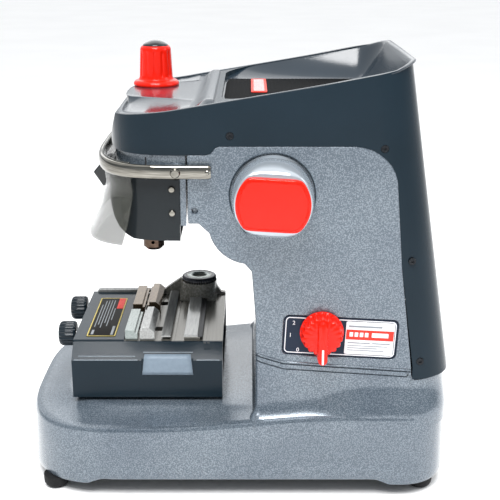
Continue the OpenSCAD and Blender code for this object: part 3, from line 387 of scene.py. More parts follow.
def soft_copy(name, node, width, material, body, slot, segments=3, limit=25, share=None):
    """A copy of a CAD node with its triangles welded and flat faces joined, and every edge
    sharper than the limit rounded to the width in mm, times share(middle, along) if given,
    where middle and along are the edges' midpoints and directions."""
    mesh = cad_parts[node].data.copy()
    mesh.name = name
    for layer in ("custom_normal", "sharp_face", "sharp_edge"):
        if layer in mesh.attributes:
            mesh.attributes.remove(mesh.attributes[layer])
    weld = bmesh.new()
    weld.from_mesh(mesh)
    bmesh.ops.remove_doubles(weld, verts=weld.verts, dist=4e-6)
    bmesh.ops.dissolve_degenerate(weld, edges=weld.edges, dist=1e-6)
    bmesh.ops.dissolve_limit(weld, angle_limit=math.radians(1), verts=weld.verts,
                             edges=weld.edges)
    weights = weld.edges.layers.float.new("bevel_weight_edge")
    for edge_ in weld.edges:
        if len(edge_.link_faces) == 2 and edge_.calc_face_angle(0) > math.radians(limit):
            a, b = [np.array(v.co) * 1000 for v in edge_.verts]
            edge_[weights] = 1.0 if share is None else share((a + b) / 2, b - a)
    weld.to_mesh(mesh)
    weld.free()
    mesh.polygons.foreach_set("use_smooth", np.ones(len(mesh.polygons), bool))
    mesh.set_sharp_from_angle(angle=math.radians(38))
    piece = put(mesh, material, body, slot, node)
    rounding = piece.modifiers.new("edges", "BEVEL")
    rounding.width = width / 1000
    rounding.segments = segments
    rounding.limit_method = "WEIGHT"
    rounding.harden_normals = True
    rounding.use_clamp_overlap = share is None
    rounding.miter_outer = "MITER_ARC"
    return piece


column_half = column_hi[1]


def column_share(middle, along):
    """Wide rounding along the arm's underside, throat and front corners, small elsewhere."""
    outer = abs(abs(middle[1]) - column_half) < 0.2
    under = middle[2] < 262 and middle[2] > 150 and middle[0] < column_x + 2
    return 1.0 if outer and under else 0.4


soft_copy("column", "column_casting", 2.4, silver_paint, "frame", "silver_paint",
          segments=4, share=column_share)

# ---- Top and rear cover, and the tool tray ----
# One large shell of slate-grey ABS over the arm and down the column's back, moulded with a fine
# spark-eroded texture. Its top dips behind the rim, rises to the knob deck in front, and forms
# an open tool tray at the back with a ribbed black rubber mat. Pan screws hold it at the sides.


def moulded(name, dark, light, rough_dark="#6a6a6a", rough_light="#868686", grain_mm=0.45,
            height=0.00006, **sockets):
    """Moulded plastic: a slow drift between two near colours over about 100 mm, and an even
    fine grain of the size given, in gloss and relief."""
    material, tree = new_finish(name)
    spot = add_node(tree, "ShaderNodeTexCoord").outputs["Object"]
    drift = add_node(tree, "ShaderNodeTexNoise",
                     {"Vector": spot, "Scale": 9.0, "Detail": 4.0}).outputs["Fac"]
    etch = add_node(tree, "ShaderNodeTexNoise",
                    {"Vector": spot, "Scale": 1000 / grain_mm / 2, "Detail": 1.0}).outputs["Fac"]
    close_finish(tree, (drift, (0.3, dark), (0.7, light)),
                 (etch, (0.3, rough_dark), (0.7, rough_light)), etch, height, **sockets)
    return material


# ABS from a spark-eroded mould: satin, with a broad soft highlight
slate = moulded("slate_satin_abs", "#17232b", "#1b2831", "#5c5c5c", "#747474", IOR=1.5,
                Specular_IOR_Level=0.14)
soft_copy("cover_shell", "top_cover", 1.3, slate, "frame", "slate_plastic")

tray_back = cover_hi[0] - 42
tray_radius = 38
rim_x = np.array([cover_lo[0], -105, -58, 52, cover_hi[0] - 62.5, tray_back])
rim_h = np.array([351, 352, 357.2, 375.5, cover_hi[2] - 7.4, cover_hi[2]])
nose_x = -41.5
nose_reach = nose_x + 107.0
tray_floor = span("tray_mat")[0][2] + 0.3
deck_top = span("depth_knob")[0][2] + 15.4


def cover_ring(inset):
    """Closed outline of the cover's top moved in by inset: superellipse nose whose reach is
    held under nose_reach by a smooth minimum, straight sides, and quarter circles at the back."""
    a = np.radians(np.arange(90, -91, -3.0))
    length = nose_x - cover_lo[0] - inset
    half = cover_hi[1] - inset
    reach = np.maximum(length * np.cos(a) ** (2 / nose_power), 0.01)
    reach = (reach ** -14 + (nose_reach - inset) ** -14.0) ** (-1 / 14)
    xs = nose_x - reach
    front = np.stack([xs, half * np.sign(np.sin(a)) * np.abs(np.sin(a)) ** (2 / nose_power)], -1)
    straight = np.linspace(nose_x, tray_back - tray_radius, 60)[1:]
    near = np.stack([straight, 0 * straight - half], -1)
    b = np.radians(np.linspace(-90, 90, 25)[1:-1])
    r = tray_radius - inset if inset < 34 else 4
    cx = tray_back - inset - r
    back = np.stack([cx + r * np.cos(b), np.sign(np.sin(b)) * (half - r) + r * np.sin(b)], -1)
    back[11] = (tray_back - inset, 0)
    far = near[::-1] * [1, -1]
    ring = np.concatenate([front, near, back, far])
    return np.concatenate([ring, ring[:1]])


outer = cover_ring(0.0)
rim = np.interp(outer[:, 0], rim_x, rim_h)
rows = []
for depth, lift in ((0.9, -0.6), (1.0, 0.15), (1.7, 0.55), (3.0, 0.75), (4.3, 0.6), (5.3, 0.1),
                    (6.2, -0.9)):
    rows.append(np.column_stack([cover_ring(depth), rim + lift]))
lip = rows[-1]
# where the inside surface ends: the edge of the knob deck in front, the tray's floor behind
deck_end = -12
deck_edge_x = np.array([-103.5, -102.5, -96.5, -76, -52, -29.5, deck_end, 60])
deck_edge_y = np.array([0.0, 25, 38.5, 46, 55, 72, 84, 84])
target = cover_ring(34.0)
front = lip[:, 0] < deck_end
angle = np.arctan2(np.abs(lip[:, 1]), deck_end - lip[:, 0])
edge_angle = np.arctan2(deck_edge_y, deck_end - 0.001 - deck_edge_x)
edge_x = np.interp(angle, edge_angle[:7], deck_edge_x[:7])
edge_y = np.interp(angle, edge_angle[:7], deck_edge_y[:7])
floor_half_width = 80
inner_x = np.where(front, edge_x, target[:, 0])
inner_y = np.where(front, np.sign(lip[:, 1]) * edge_y, np.sign(target[:, 1])
                   * np.minimum(np.abs(target[:, 1]), floor_half_width))
level = np.where(front, deck_top, tray_floor)
blend = ease(deck_end - 3, deck_end + 10, lip[:, 0])
for v in np.linspace(0.06, 1, 18):
    x = lip[:, 0] + (inner_x - lip[:, 0]) * v
    y = lip[:, 1] + (inner_y - lip[:, 1]) * v
    sweep = ease(0.5, 1.25, angle)
    dip = (lip[:, 2] + (deck_top - lip[:, 2]) * v ** (0.9 + 1.3 * sweep)
           - 1.2 * sweep * np.sin(np.pi * v))
    bowl = tray_floor + (lip[:, 2] - tray_floor) * (1 - v) ** 1.7
    rows.append(np.column_stack([x, y, dip + (bowl - dip) * blend]))
rows[-1][:, 2] = level
inside = rows[-1]
closing_x = np.clip(inside[:, 0], -80, 95)
for x, share, lift in ((inside[:, 0] + 1.2 * front, 0.985, 0.45),
                       (inside[:, 0] + 3.0 * front, 0.95, 0.5), (closing_x, 0.5, 0.5),
                       (closing_x, 0, 0.5)):
    rows.append(np.column_stack([x, inside[:, 1] * share, inside[:, 2] + lift * front]))
# the same ABS with the mould polished inside the tray: glossier than the outer skin
slate_gloss = moulded("slate_polished_abs", "#1a252e", "#1f2b35", "#4c4c4c", "#5e5e5e",
                      Specular_IOR_Level=0.5, Coat_Weight=0.2, Coat_Roughness=0.35)


def thicken(piece, wall_mm, offset):
    """Gives a sheet its wall: offset -1 lays it inside, 0 half on each side."""
    wall = piece.modifiers.new("wall", "SOLIDIFY")
    wall.thickness = wall_mm / 1000
    wall.offset = offset


thicken(put(surface("tray_and_deck", np.array(rows), sharp=50), slate_gloss, "frame",
            "slate_plastic"), 1.2, -1)

# low wall between the knob deck and the tray
y = np.linspace(-104.5, 104.5, 90)
crest = np.minimum(366.0, np.interp(-22, rim_x, rim_h) - 0.6 + (105 - np.abs(y)) * 0.42)
profile = [(-19.2, 356.5), (-19.2, 0.88), (-19.6, 0.96), (-20.6, 1.0), (-23, 1.0), (-25, 1.0),
           (-26.5, 0.96), (-28.5, 0.80), (-32, 0.40), (-34.5, 0.17), (-37, 0.05), (-40, 0.0),
           (-40, 356.5), (-19.2, 356.5)]
rows = []
for x, part in profile:
    z = part + 0 * y if part > 2 else deck_top + 0.2 + (crest - deck_top - 0.2) * part
    rows.append(np.column_stack([x + 0 * y, y, z]))
bar = np.array(rows)
caps = [np.stack([bar[:, k], np.repeat([[-30, y[k], 358.0]], len(profile), 0)]) for k in (0, -1)]
put(surface("tray_front_wall", bar, *caps, sharp=45), slate_gloss, "frame", "slate_plastic")

# ribbed mat of black nitrile rubber, ribs 4 mm apart, and a printed red index strip on it
mat_rubber = speckled("ribbed_black_nitrile", 1 / 0.42, "#060708", "#0c0e11", 0.75, 0.85,
                      0.00006, Specular_IOR_Level=0.08)


def ribbed(lo, hi, top, pitch, height, axis):
    """A flat block whose top rises in round ribs |sin| along one axis, pitch mm apart."""
    n = int((hi[axis] - lo[axis]) / pitch) * 6
    run = np.linspace(lo[axis], hi[axis], n + 1)
    other = np.array([lo[1 - axis], lo[1 - axis] + 0.6, hi[1 - axis] - 0.6, hi[1 - axis]])
    rib = height * np.abs(np.sin(np.pi * (run - run[0]) / pitch)) ** 0.7
    rib[[0, -1]] = 0
    top_z = np.array([top - 0.5, top, top, top - 0.5])[:, None] + rib * [[0], [1], [1], [0]]
    rows_z = np.concatenate([[0 * rib + lo[2]], top_z, [0 * rib + lo[2], 0 * rib + lo[2]]])
    rows_o = np.concatenate([other[:1], other, other[-1:], other[:1]])
    grid = np.empty((7, len(run), 3))
    grid[..., axis] = run
    grid[..., 1 - axis] = rows_o[:, None]
    grid[..., 2] = rows_z
    ends = [np.stack([grid[:, k], grid[:, k] * [1, 1, 0] + [0, 0, lo[2]]]) for k in (0, -1)]
    return grid, *ends


mat_lo, mat_hi = span("tray_mat")
put(surface("tray_rubber_mat", *ribbed((mat_lo[0] - 9, mat_lo[1], tray_floor - 0.4),
                                       (mat_hi[0] + 22, mat_hi[1] + 3, mat_hi[2]),
                                       mat_hi[2] - 0.4, 4.0, 0.25, 0)),
    mat_rubber, "frame", "mat_rubber", "tray_mat")


def corners(u0, u1, v0, v1, r):
    """Angles once round, and the centre of the corner arc of radius r that each belongs to."""
    a = np.radians(np.append(np.arange(0, 360, 10.0), 0))
    return (a, np.where(np.cos(a) > -1e-9, u1 - r, u0 + r),
            np.where(np.sin(a) > -1e-9, v1 - r, v0 + r))


def plate(u0, u1, v0, v1, r, h0, h1, edge=0.3):
    """A rounded rectangle u0..u1 by v0..v1 with corner radius r, standing from h0 to h1, its top
    edge eased by edge. Points are (u, v, h)."""
    a, cu, cv = corners(u0, u1, v0, v1, r)
    middle = ((u0 + u1) / 2, (v0 + v1) / 2)
    rows = []
    for k, h in ((0, h0), (1, h0), (1, h1 - edge), (1 - 0.3 * edge / r, h1 - 0.3 * edge),
                 (1 - edge / r, h1), (0, h1)):
        if k == 0:
            rows.append(np.column_stack([0 * a + middle[0], 0 * a + middle[1], 0 * a + h]))
        else:
            k = max(k, 0.05)
            rows.append(np.column_stack([cu + r * k * np.cos(a), cv + r * k * np.sin(a),
                                         0 * a + h]))
    return np.array(rows)


def film(name, code, rough=0.45, **sockets):
    """Screen-printed polyester film in one ink: even colour, a seventh deeper in fine streaks
    about 3 mm long."""
    material, tree = new_finish(name)
    spot = add_node(tree, "ShaderNodeTexCoord").outputs["Object"]
    streak = add_node(tree, "ShaderNodeTexNoise",
                      {"Vector": spot, "Scale": 300.0, "Detail": 3.0}).outputs["Fac"]
    band = add_node(tree, "ShaderNodeValToRGB", {"Fac": streak}, ((0.3, code), (0.8, code)))
    band.color_ramp.elements[1].color = [0.86 * c for c in paint(code)[:3]] + [1]
    sockets.setdefault("Specular_IOR_Level", 0.2)
    close_finish(tree, band.outputs["Color"], rough, streak, 0.00001, **sockets)
    return material


# screen inks: dull, with hardly any highlight of their own
red_film = film("red_ink_on_film", "#e0392c")
white_film = film("white_ink_on_film", "#e9e9ec")
grey_film = film("grey_ink_on_film", "#8f9499")
strip_lo, strip_hi = span("tray_strip")
put(surface("tray_index_strip", plate(strip_lo[0], strip_hi[0], strip_lo[1], strip_hi[1], 2,
                                      strip_lo[2], strip_hi[2] + 0.3)),
    red_film, "frame", "red_print", "tray_strip")
marks = [plate(strip_lo[0] + 2.5, strip_hi[0] - 2.5, v, v + 1.6, 0.3, strip_hi[2] + 0.1,
               strip_hi[2] + 0.45, 0.05) for v in np.arange(strip_lo[1] + 6, strip_hi[1] - 4, 5.5)]
put(surface("tray_index_marks", *marks), white_film, "frame", "panel_print")

# blackened pan screws with a hexagon recess: dark satin metal with a bloom of oxide
black_steel = speckled("black_oxide_steel", 1 / 0.7, "#15171a", "#2a2d31", 0.7, 0.38, 0.00002,
                       Metallic=0.7)
soft_copy("cover_pan_screws", "cover_screws", 0.35, black_steel, "frame", "black_screw",
          segments=2)

# ---- Selector panel, knob and power parts ----
# A printed slate film panel sits in a shallow recess low on the column, with a moulded red switch
# knob on a rotary switch. The mains inlet is a black socket at the back of the base.
# slate ink printed on the back of clear polyester: even and satin
panel_slate = moulded("slate_printed_polyester", "#1c2535", "#212b3c", "#585858", "#6e6e6e",
                      Specular_IOR_Level=0.15)
soft_copy("panel_sheet", "selector_panel", 0.4, panel_slate, "frame", "panel_slate", segments=2)
panel_lo, panel_hi = span("selector_panel")
panel_x, panel_z = (panel_lo[0] + panel_hi[0]) / 2, (panel_lo[2] + panel_hi[2]) / 2
panel_face = -panel_lo[1]
tilt = math.radians(-3.1)


def on_panel(grid):
    """Local (u along, v up, h out) to the panel's face, turned by its tilt."""
    u, v, h = np.moveaxis(np.asarray(grid, float), -1, 0)
    return np.stack([panel_x + u * math.cos(tilt) - v * math.sin(tilt), -panel_face - h,
                     panel_z + u * math.sin(tilt) + v * math.cos(tilt)], -1)


def frame_line(u0, u1, v0, v1, r, wide, high):
    """A thin raised line round a rounded rectangle, wide inwards and high above the face."""
    a, cu, cv = corners(u0, u1, v0, v1, r)
    rows = [np.column_stack([cu + (r - d) * np.cos(a), cv + (r - d) * np.sin(a), 0 * a + h])
            for d, h in ((0, 0), (0, high), (wide, high), (wide, 0), (0, 0))]
    return np.array(rows)


put(surface("panel_outline", on_panel(frame_line(-49.6, 49.6, -17.1, 17.1, 4, 0.8, 0.15))),
    white_film, "frame", "panel_print")
put(surface("panel_white_label", on_panel(plate(4.5, 48.2, -15.6, 15.6, 1.5, 0, 0.4, 0.1))),
    white_film, "frame", "panel_print", "panel_label")
put(surface("panel_red_band", on_panel(plate(5.0, 47.7, -1.5, 8.0, 0.4, 0.3, 0.5, 0.05))),
    red_film, "frame", "red_print")
bars = [plate(7 + s, 7 + s + w, v, v + h, 0.3, 0.3, 0.52, 0.05)
        for s, w, v, h in ((0, 30, 10.4, 1.7), (0, 20, -5.0, 1.0), (22, 16, -5.0, 1.0),
                           (0, 36, -7.6, 0.8), (0, 27, -9.8, 0.8), (0, 33, -12.0, 0.8))]
put(surface("panel_grey_lines", *[on_panel(b) for b in bars]), grey_film, "frame", "panel_print")
band_marks = [on_panel(plate(u, u + w, 1.4, 5.6, 0.4, 0.4, 0.62, 0.05))
              for u, w in ((8, 3.2), (12.6, 3.2), (17.2, 3.2), (21.8, 3.2), (28, 15))]
put(surface("panel_band_marks", *band_marks), white_film, "frame", "panel_print")


def figure(text, size, place, name):
    """A numeral as a flat mesh on the panel, size mm high."""
    curve = bpy.data.curves.new(name, "FONT")
    curve.body = text
    curve.size = size
    curve.extrude = 0.08
    curve.align_x = "CENTER"
    holder = bpy.data.objects.new(name, curve)
    bpy.context.scene.collection.objects.link(holder)
    bpy.context.view_layer.update()
    mesh = bpy.data.meshes.new_from_object(
        holder.evaluated_get(bpy.context.evaluated_depsgraph_get()))
    bpy.data.objects.remove(holder)
    co = np.zeros(len(mesh.vertices) * 3)
    mesh.vertices.foreach_get("co", co)
    co = co.reshape(-1, 3) + [place[0], place[1], 0.12]
    mesh.vertices.foreach_set("co", (on_panel(co) / 1000).ravel())
    mesh.name = name
    return mesh


selector_lo, selector_hi = span("selector_knob")
knob_u = (selector_lo[0] + selector_hi[0]) / 2 - panel_x
for text, left, v in (("2", 25.5, 10.0), ("1", 28.0, -1.8), ("0", 20.5, -15.6)):
    put(figure(text, 5.2, (knob_u - left, v), "panel_numeral_" + text), white_film, "frame",
        "panel_print")

# glossy injection-moulded ABS in signal red
red_abs = moulded("signal_red_abs", "#d71807", "#de1e0b", "#424242", "#545454", grain_mm=0.8,
                  height=0.00002, IOR=1.5, Specular_IOR_Level=0.25)
selector_axis = ((selector_lo[0] + selector_hi[0]) / 2, -column_half - 0.6, 160.5)
flutes = 18


def scallops(a, r, h):
    """Finger hollows: the radius dips by a raised cosine, fading out on the top face."""
    return r - 1.5 * (0.5 + 0.5 * np.cos(flutes * a)) ** 1.6 * (r > 14) * (h > 3)


knob_side = [(0, 0), (19.2, 0), (19.6, 0.8), (19.6, 2.6), (19.0, 3.4), (18.6, 4.2), (18.4, 10),
             (18.0, 12.2), (16.8, 13.6), (14.5, 14.4), (8, 15.0), (0, 15.2)]


def on_knob(grid, taper):
    """(u across, v up, h out) from the knob's axis, u drawn in by taper for each mm of height."""
    u, v, h = np.moveaxis(grid, -1, 0)
    return np.stack([selector_axis[0] + u * (1 - taper * (h - 3)), selector_axis[1] - h,
                     selector_axis[2] + v], -1)


pointer = on_knob(plate(-5.4, 5.4, -selector_axis[2] + selector_lo[2] + 0.2, 15.5, 5.0, 3, 21,
                        1.8), 0.012)
put(surface("selector_switch_knob", turned(knob_side, selector_axis, "y", 216, scallops), pointer,
            sharp=40), red_abs, "selector", "red_plastic", "selector_knob")
put(surface("selector_pointer_line", on_knob(plate(-0.9, 0.9, -23.0, -9.0, 0.6, 20.6, 21.35, 0.1),
                                             0)), white_film, "selector", "panel_print")

# black ABS from a coarse mould: nearly matt
black_abs = moulded("black_textured_abs", "#101214", "#17191c", "#6c6c6c", "#888888")
soft_copy("switch_body", "selector_switch", 0.5, black_abs, "frame", "black_plastic", 2)
soft_copy("mains_inlet", "power_inlet", 0.8, black_abs, "frame", "black_plastic", 2)

# ---- Head ----
# The silver casting that slides up and down behind the nose, with a black moulded shroud round
# the spindles, pan screws, the slide with its rack, the motor, the belt and the work lamp.


def metal(name, dark, light, rough_dark="#2e2e2e", rough_light="#4a4a4a",
          marks_mm=(0.5, 0.5, 6.0), height=0.000008, **sockets):
    """Worked metal: fine tool marks with the given spacing on each axis in mm."""
    material, tree = new_finish(name)
    spot = add_node(tree, "ShaderNodeTexCoord").outputs["Object"]
    drawn = add_node(tree, "ShaderNodeMapping",
                     {"Vector": spot, "Scale": [500 / m for m in marks_mm]}).outputs["Vector"]
    marks = add_node(tree, "ShaderNodeTexNoise",
                     {"Vector": drawn, "Scale": 1.0, "Detail": 2.0}).outputs["Fac"]
    sockets.setdefault("Metallic", 1.0)
    close_finish(tree, (marks, (0.3, dark), (0.7, light)),
                 (marks, (0.3, rough_dark), (0.7, rough_light)), marks, height, **sockets)
    return material


def finish(material, *nodes):
    """Gives a finish to CAD nodes that keep their own mesh."""
    for node in nodes:
        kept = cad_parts[node]
        if not kept.material_slots:
            kept.data.materials.append(material)
        for place in kept.material_slots:
            place.material = material


soft_copy("head_shell", "head_casting", 1.0, silver_paint, "head", "silver_paint", 2)
head_hi = span("head_casting")[1]
seam_strip = plate(-77.2, -75.9, 300.5, head_hi[2] - 0.3, 0.1, -0.3, 0.12, 0.02)
seam_strip = np.stack([seam_strip[..., 0], -head_hi[1] - seam_strip[..., 2],
                       seam_strip[..., 1]], -1)
put(surface("head_seam_lines", seam_strip, seam_strip * [1, -1, 1]), black_abs, "head",
    "shroud_plastic")

# black ABS, polished mould, so upright faces carry soft grey reflections
shroud_abs = moulded("shroud_black_abs", "#191e21", "#1f2427", "#565656", "#6c6c6c",
                     height=0.00004, Specular_IOR_Level=0.2)
soft_copy("nose_shroud", "head_shroud", 1.5, shroud_abs, "head", "shroud_plastic")

# decorative chromium plate: a mirror with faint polishing lines; its colour is painted a dark warm
# grey, a painted dark reflection in place of the surroundings that a mirror would show
chrome = metal("chrome_plate_painted_dark_reflection", "#6e6b64", "#98958d", "#1a1a1a", "#2a2a2a",
               marks_mm=(8.0, 8.0, 0.5), height=0.000003)
soft_copy("shroud_pan_screws", "shroud_screws", 0.5, chrome, "head", "chrome", 2)
soft_copy("guard_pivot_screws", "guard_pivots", 0.6, chrome, "head", "chrome", 2)

# the working metals: milled aluminium in dull strokes 9 mm long, ground steel bright and even,
# sintered bronze warm and matt, zinc plate in soft 3 mm patches; then a dull neoprene belt and
# a milky lamp cover that lets light into itself
machined_alloy = metal("machined_aluminium", "#868786", "#9e9f9d", "#6a6a6a", "#848484",
                       marks_mm=(0.9, 9.0, 0.9), height=0.000004, Metallic=0.45)
bright_steel = metal("ground_bright_steel", "#b4b6b8", "#d2d3d4", "#303030", "#484848",
                     marks_mm=(0.4, 0.4, 0.4))
bronze = metal("sintered_bronze", "#8a6234", "#a67a45", "#585858", "#707070",
               marks_mm=(0.6, 0.6, 0.6))
plated = metal("zinc_plated_steel", "#9da1a5", "#bcc0c4", "#505050", "#6c6c6c",
               marks_mm=(3.0, 3.0, 3.0))
belt_rubber = moulded("ribbed_belt_neoprene", "#111213", "#1a1b1c", "#9a9a9a", "#b4b4b4")
lens = moulded("frosted_lamp_polycarbonate", "#e4e6e6", "#eceeee", "#505050", "#646464",
               Transmission_Weight=0.25)
finish(machined_alloy, "head_slide", "saddle")
finish(bright_steel, "feed_rack", "cutter_bearing_low", "cutter_bearing_top", "guide_rod_near",
       "guide_rod_far", "rod_bridge", "knob_bush", "saddle_rail_front", "saddle_rail_back")
finish(bronze, "tracer_bush")
finish(plated, "motor_can", "power_supply")
finish(belt_rubber, "drive_belt")
finish(lens, "work_lamp")
finish(black_abs, "bottom_plate")

# ---- Spindles ----
# Two ground steel spindles, browned against rust, with a chamfered collet nose: the cutter's
# turns in ball bearings under its pulley, and the tracer's floats a little in a bronze bush.
browned = metal("browned_spindle_steel", "#40342c", "#5f4f45", "#3c3c3c", "#565656",
                marks_mm=(2.0, 2.0, 0.6))
soft_copy("cutter_spindle_nose", "cutter_spindle", 0.6, browned, "cutter", "dark_steel", 2)
soft_copy("tracer_quill_nose", "tracer_quill", 0.6, browned, "tracer", "dark_steel", 2)
finish(machined_alloy, "cutter_pulley", "motor_pulley")

# ---- Depth knob ----
# A tall knob of signal-red ABS with a wide foot flange and shallow flutes, moulded in one piece
# and pressed on the tracer's stop screw, with a domed black plug in its top.
dial_lo, dial_hi = span("depth_knob")
plug_hi = span("depth_cap")[1]
dial = (dial_lo[0] + dial_hi[0]) / 2, (dial_lo[1] + dial_hi[1]) / 2
flange = (dial_hi[0] - dial_lo[0]) / 2
foot = dial_lo[2] + 15.4


def knob_flutes(a, r, h):
    """Shallow grooves along the body: the radius dips by a cubed raised cosine."""
    low = ease(foot + 8, foot + 12, h) * (1 - ease(dial_hi[2] - 7, dial_hi[2] - 3, h))
    return r - 1.0 * (0.5 + 0.5 * np.cos(12 * a)) ** 3 * low * (r > 12)


body = [(0, dial_lo[2]), (5.0, dial_lo[2]), (5.0, foot), (flange - 1.2, foot),
        (flange - 0.4, foot + 0.4), (flange, foot + 1.2), (flange, foot + 2.6),
        (flange - 0.7, foot + 4.0), (flange - 2.0, foot + 5.2), (flange - 3.8, foot + 5.9),
        (17.0, foot + 6.3), (16.4, foot + 7.2), (16.1, foot + 8.6)]
body += [(16.0 - 1.1 * (h - 9) / 24, foot + h) for h in (9, 11, 14, 18, 22, 26, 29, 31, 33)]
top = dial_hi[2]
body += [(14.8, top - 3.2), (14.3, top - 1.7), (13.5, top - 0.6), (12.6, top), (12.2, top - 0.4),
         (12.2, top - 3), (0, top - 3)]
put(surface("depth_dial_knob", turned(body, (*dial, 0), steps=180, wave=knob_flutes), sharp=45),
    red_abs, "depth_dial", "red_plastic", "depth_knob")
dome = [(0, top - 3.5), (12.0, top - 3.5), (12.0, top + 0.4), (11.7, top + 1.0), (10.4, top + 2.0),
        (8.0, top + 3.3), (5.0, top + 4.4), (2.4, plug_hi[2] - 0.1), (0, plug_hi[2])]
# black ABS from a polished mould: small sharp highlights
gloss_black = moulded("gloss_black_abs", "#14171a", "#1c2023", "#2c2c2c", "#404040",
                      height=0.00002)
put(surface("depth_dial_plug", turned(dome, (*dial, 0), steps=72)), gloss_black, "depth_dial",
    "black_plastic", "depth_cap")

# ---- Feed handle ----
# The drum that feeds the head down: a glossy silver-lacquered dome, round at the casting and cut
# by two flats at its face, where a red ABS cap with a fine border groove is clipped on.
hub_lo, hub_hi = span("handle_hub")
cap_lo, cap_hi = span("handle_cap")
hub_r = (hub_hi[2] - hub_lo[2]) / 2
hub_x, hub_z = (hub_lo[0] + hub_hi[0]) / 2, (hub_lo[2] + hub_hi[2]) / 2
cap_r = (cap_hi[0] - cap_lo[0]) / 2
flat = 22.6
hub_turn = math.radians(3.5)
round_a = np.linspace(0, 2 * np.pi, 241)


def drum(r, half, y, power=22):
    """Ring at depth y: a circle of radius r cut by two flats at +-half, as a smooth minimum
    (r^-p + (|sin a| / half)^p)^(-1/p)."""
    reach = (r ** -power + (np.abs(np.sin(round_a)) / half) ** power) ** (-1 / power)
    x, z = reach * np.cos(round_a), reach * np.sin(round_a)
    x[-1], z[-1] = x[0], z[0]
    c, s = math.cos(hub_turn), -math.sin(hub_turn)
    return np.column_stack([hub_x + c * x - s * z, 0 * x + y, hub_z + s * x + c * z])


hub_rows = [drum(0.01, 1, hub_hi[1]), drum(hub_r - 0.6, 80, hub_hi[1]),
            drum(hub_r, 80, hub_hi[1] - 0.6), drum(hub_r, 80, hub_hi[1] - 3.4)]
rise = hub_hi[1] - 3.4 - cap_hi[1]
for turn in np.radians(np.linspace(6, 86, 17)):
    w = 1 - math.cos(turn)
    hub_rows.append(drum(hub_r + (cap_r + 0.5 - hub_r) * w,
                         (hub_r + 0.4) + (flat + 1.0 - hub_r) * w ** 0.9,
                         hub_hi[1] - 3.4 - rise * math.sin(turn), 14))
hub_rows += [drum(cap_r + 0.3, flat + 0.6, cap_hi[1]), drum(0.01, 1, cap_hi[1])]
# two-coat lacquer over the turned casting: smooth, with a clear top coat
lacquer = moulded("gloss_silver_lacquer", "#aab3bb", "#bcc4cb", "#303030", "#404040",
                  height=0.000004, Metallic=0.55, Coat_Weight=0.8, Coat_Roughness=0.06)
put(surface("feed_drum", np.array(hub_rows), sharp=50), lacquer, "handle", "silver_gloss",
    "handle_hub")
face = cap_lo[1]
cap_rows = [drum(0.01, 1, cap_hi[1] + 0.2)]
cap_rows += [drum(cap_r - d, flat - d, y) for d, y in (
    (0.0, cap_hi[1] + 0.2), (0.0, face + 1.6), (0.25, face + 0.8), (0.9, face + 0.3),
    (2.2, face + 0.15), (2.5, face + 0.5), (3.0, face + 0.5), (3.3, face + 0.12),
    (8.0, face + 0.05), (16.0, face))]
cap_rows.append(drum(0.01, 1, face))
put(surface("feed_drum_red_cap", np.array(cap_rows), sharp=45), red_abs, "handle",
    "red_plastic", "handle_cap")
finish(bright_steel, "handle_shaft")

# ---- Splash guard ----
# A chromed flat-oval steel rail bent round the nose on two pivot screws carries a smoky clear
# polycarbonate shield, waisted under the rail and flared at its foot, with a black grip tab.
rail_lo, rail_hi = span("guard_rail")
rail_z = (rail_lo[2] + rail_hi[2]) / 2
rail_half, rail_len = rail_hi[1] - 3.0, nose_x - rail_lo[0] - 3.0


def nose_line(length, half, a):
    """Superellipse round the nose: x = nose - length cos^(2/n) a, y = half sin^(2/n) a."""
    return np.stack([nose_x - length * np.cos(a) ** (2 / nose_power),
                     half * np.sign(np.sin(a)) * np.abs(np.sin(a)) ** (2 / nose_power)], -1)


bend = nose_line(rail_len, rail_half, np.radians(np.linspace(-90, 90, 121)))
tail = np.linspace(rail_hi[0], nose_x, 9)[:-1]
path = np.concatenate([np.column_stack([tail, 0 * tail - rail_half]), bend,
                       np.column_stack([tail[::-1], 0 * tail + rail_half])])
along = np.gradient(path, axis=0)
along /= np.linalg.norm(along, axis=1)[:, None]
side = np.stack([along[:, 1], -along[:, 0]], -1)
side *= np.sign((side * (path - [nose_x + 30, 0])).sum(1))[:, None]
turn = np.linspace(0, 2 * np.pi, 33)
out = 3.0 * np.sign(np.cos(turn)) * np.abs(np.cos(turn)) ** 0.75
up = (rail_hi[2] - rail_z) * np.sign(np.sin(turn)) * np.abs(np.sin(turn)) ** 0.85
out[-1], up[-1] = out[0], up[0]
size = np.ones(len(path))
size[[0, -1]] = 0.86
rail = np.concatenate([path[:, None] + side[:, None] * (out[:, None] * size[:, None, None]),
                       rail_z + up[None, :, None] * size[:, None, None]], 2)
ends = [np.stack([rail[k], np.repeat([[*path[k], rail_z]], len(turn), 0)]) for k in (0, -1)]
put(surface("guard_chrome_rail", rail, *ends, sharp=50), chrome, "guard", "chrome", "guard_rail")
rivet = turned([(0, -0.5), (2.1, -0.5), (2.1, 0.3), (1.5, 0.9), (0.7, 1.2), (0, 1.3)],
               (-24.6, -rail_hi[1] + 0.2, rail_z), "y", 24)
put(surface("guard_rail_end_screws", rivet, rivet * [1, -1, 1]), chrome, "guard", "chrome")

shield_lo = span("guard_shield")[0]
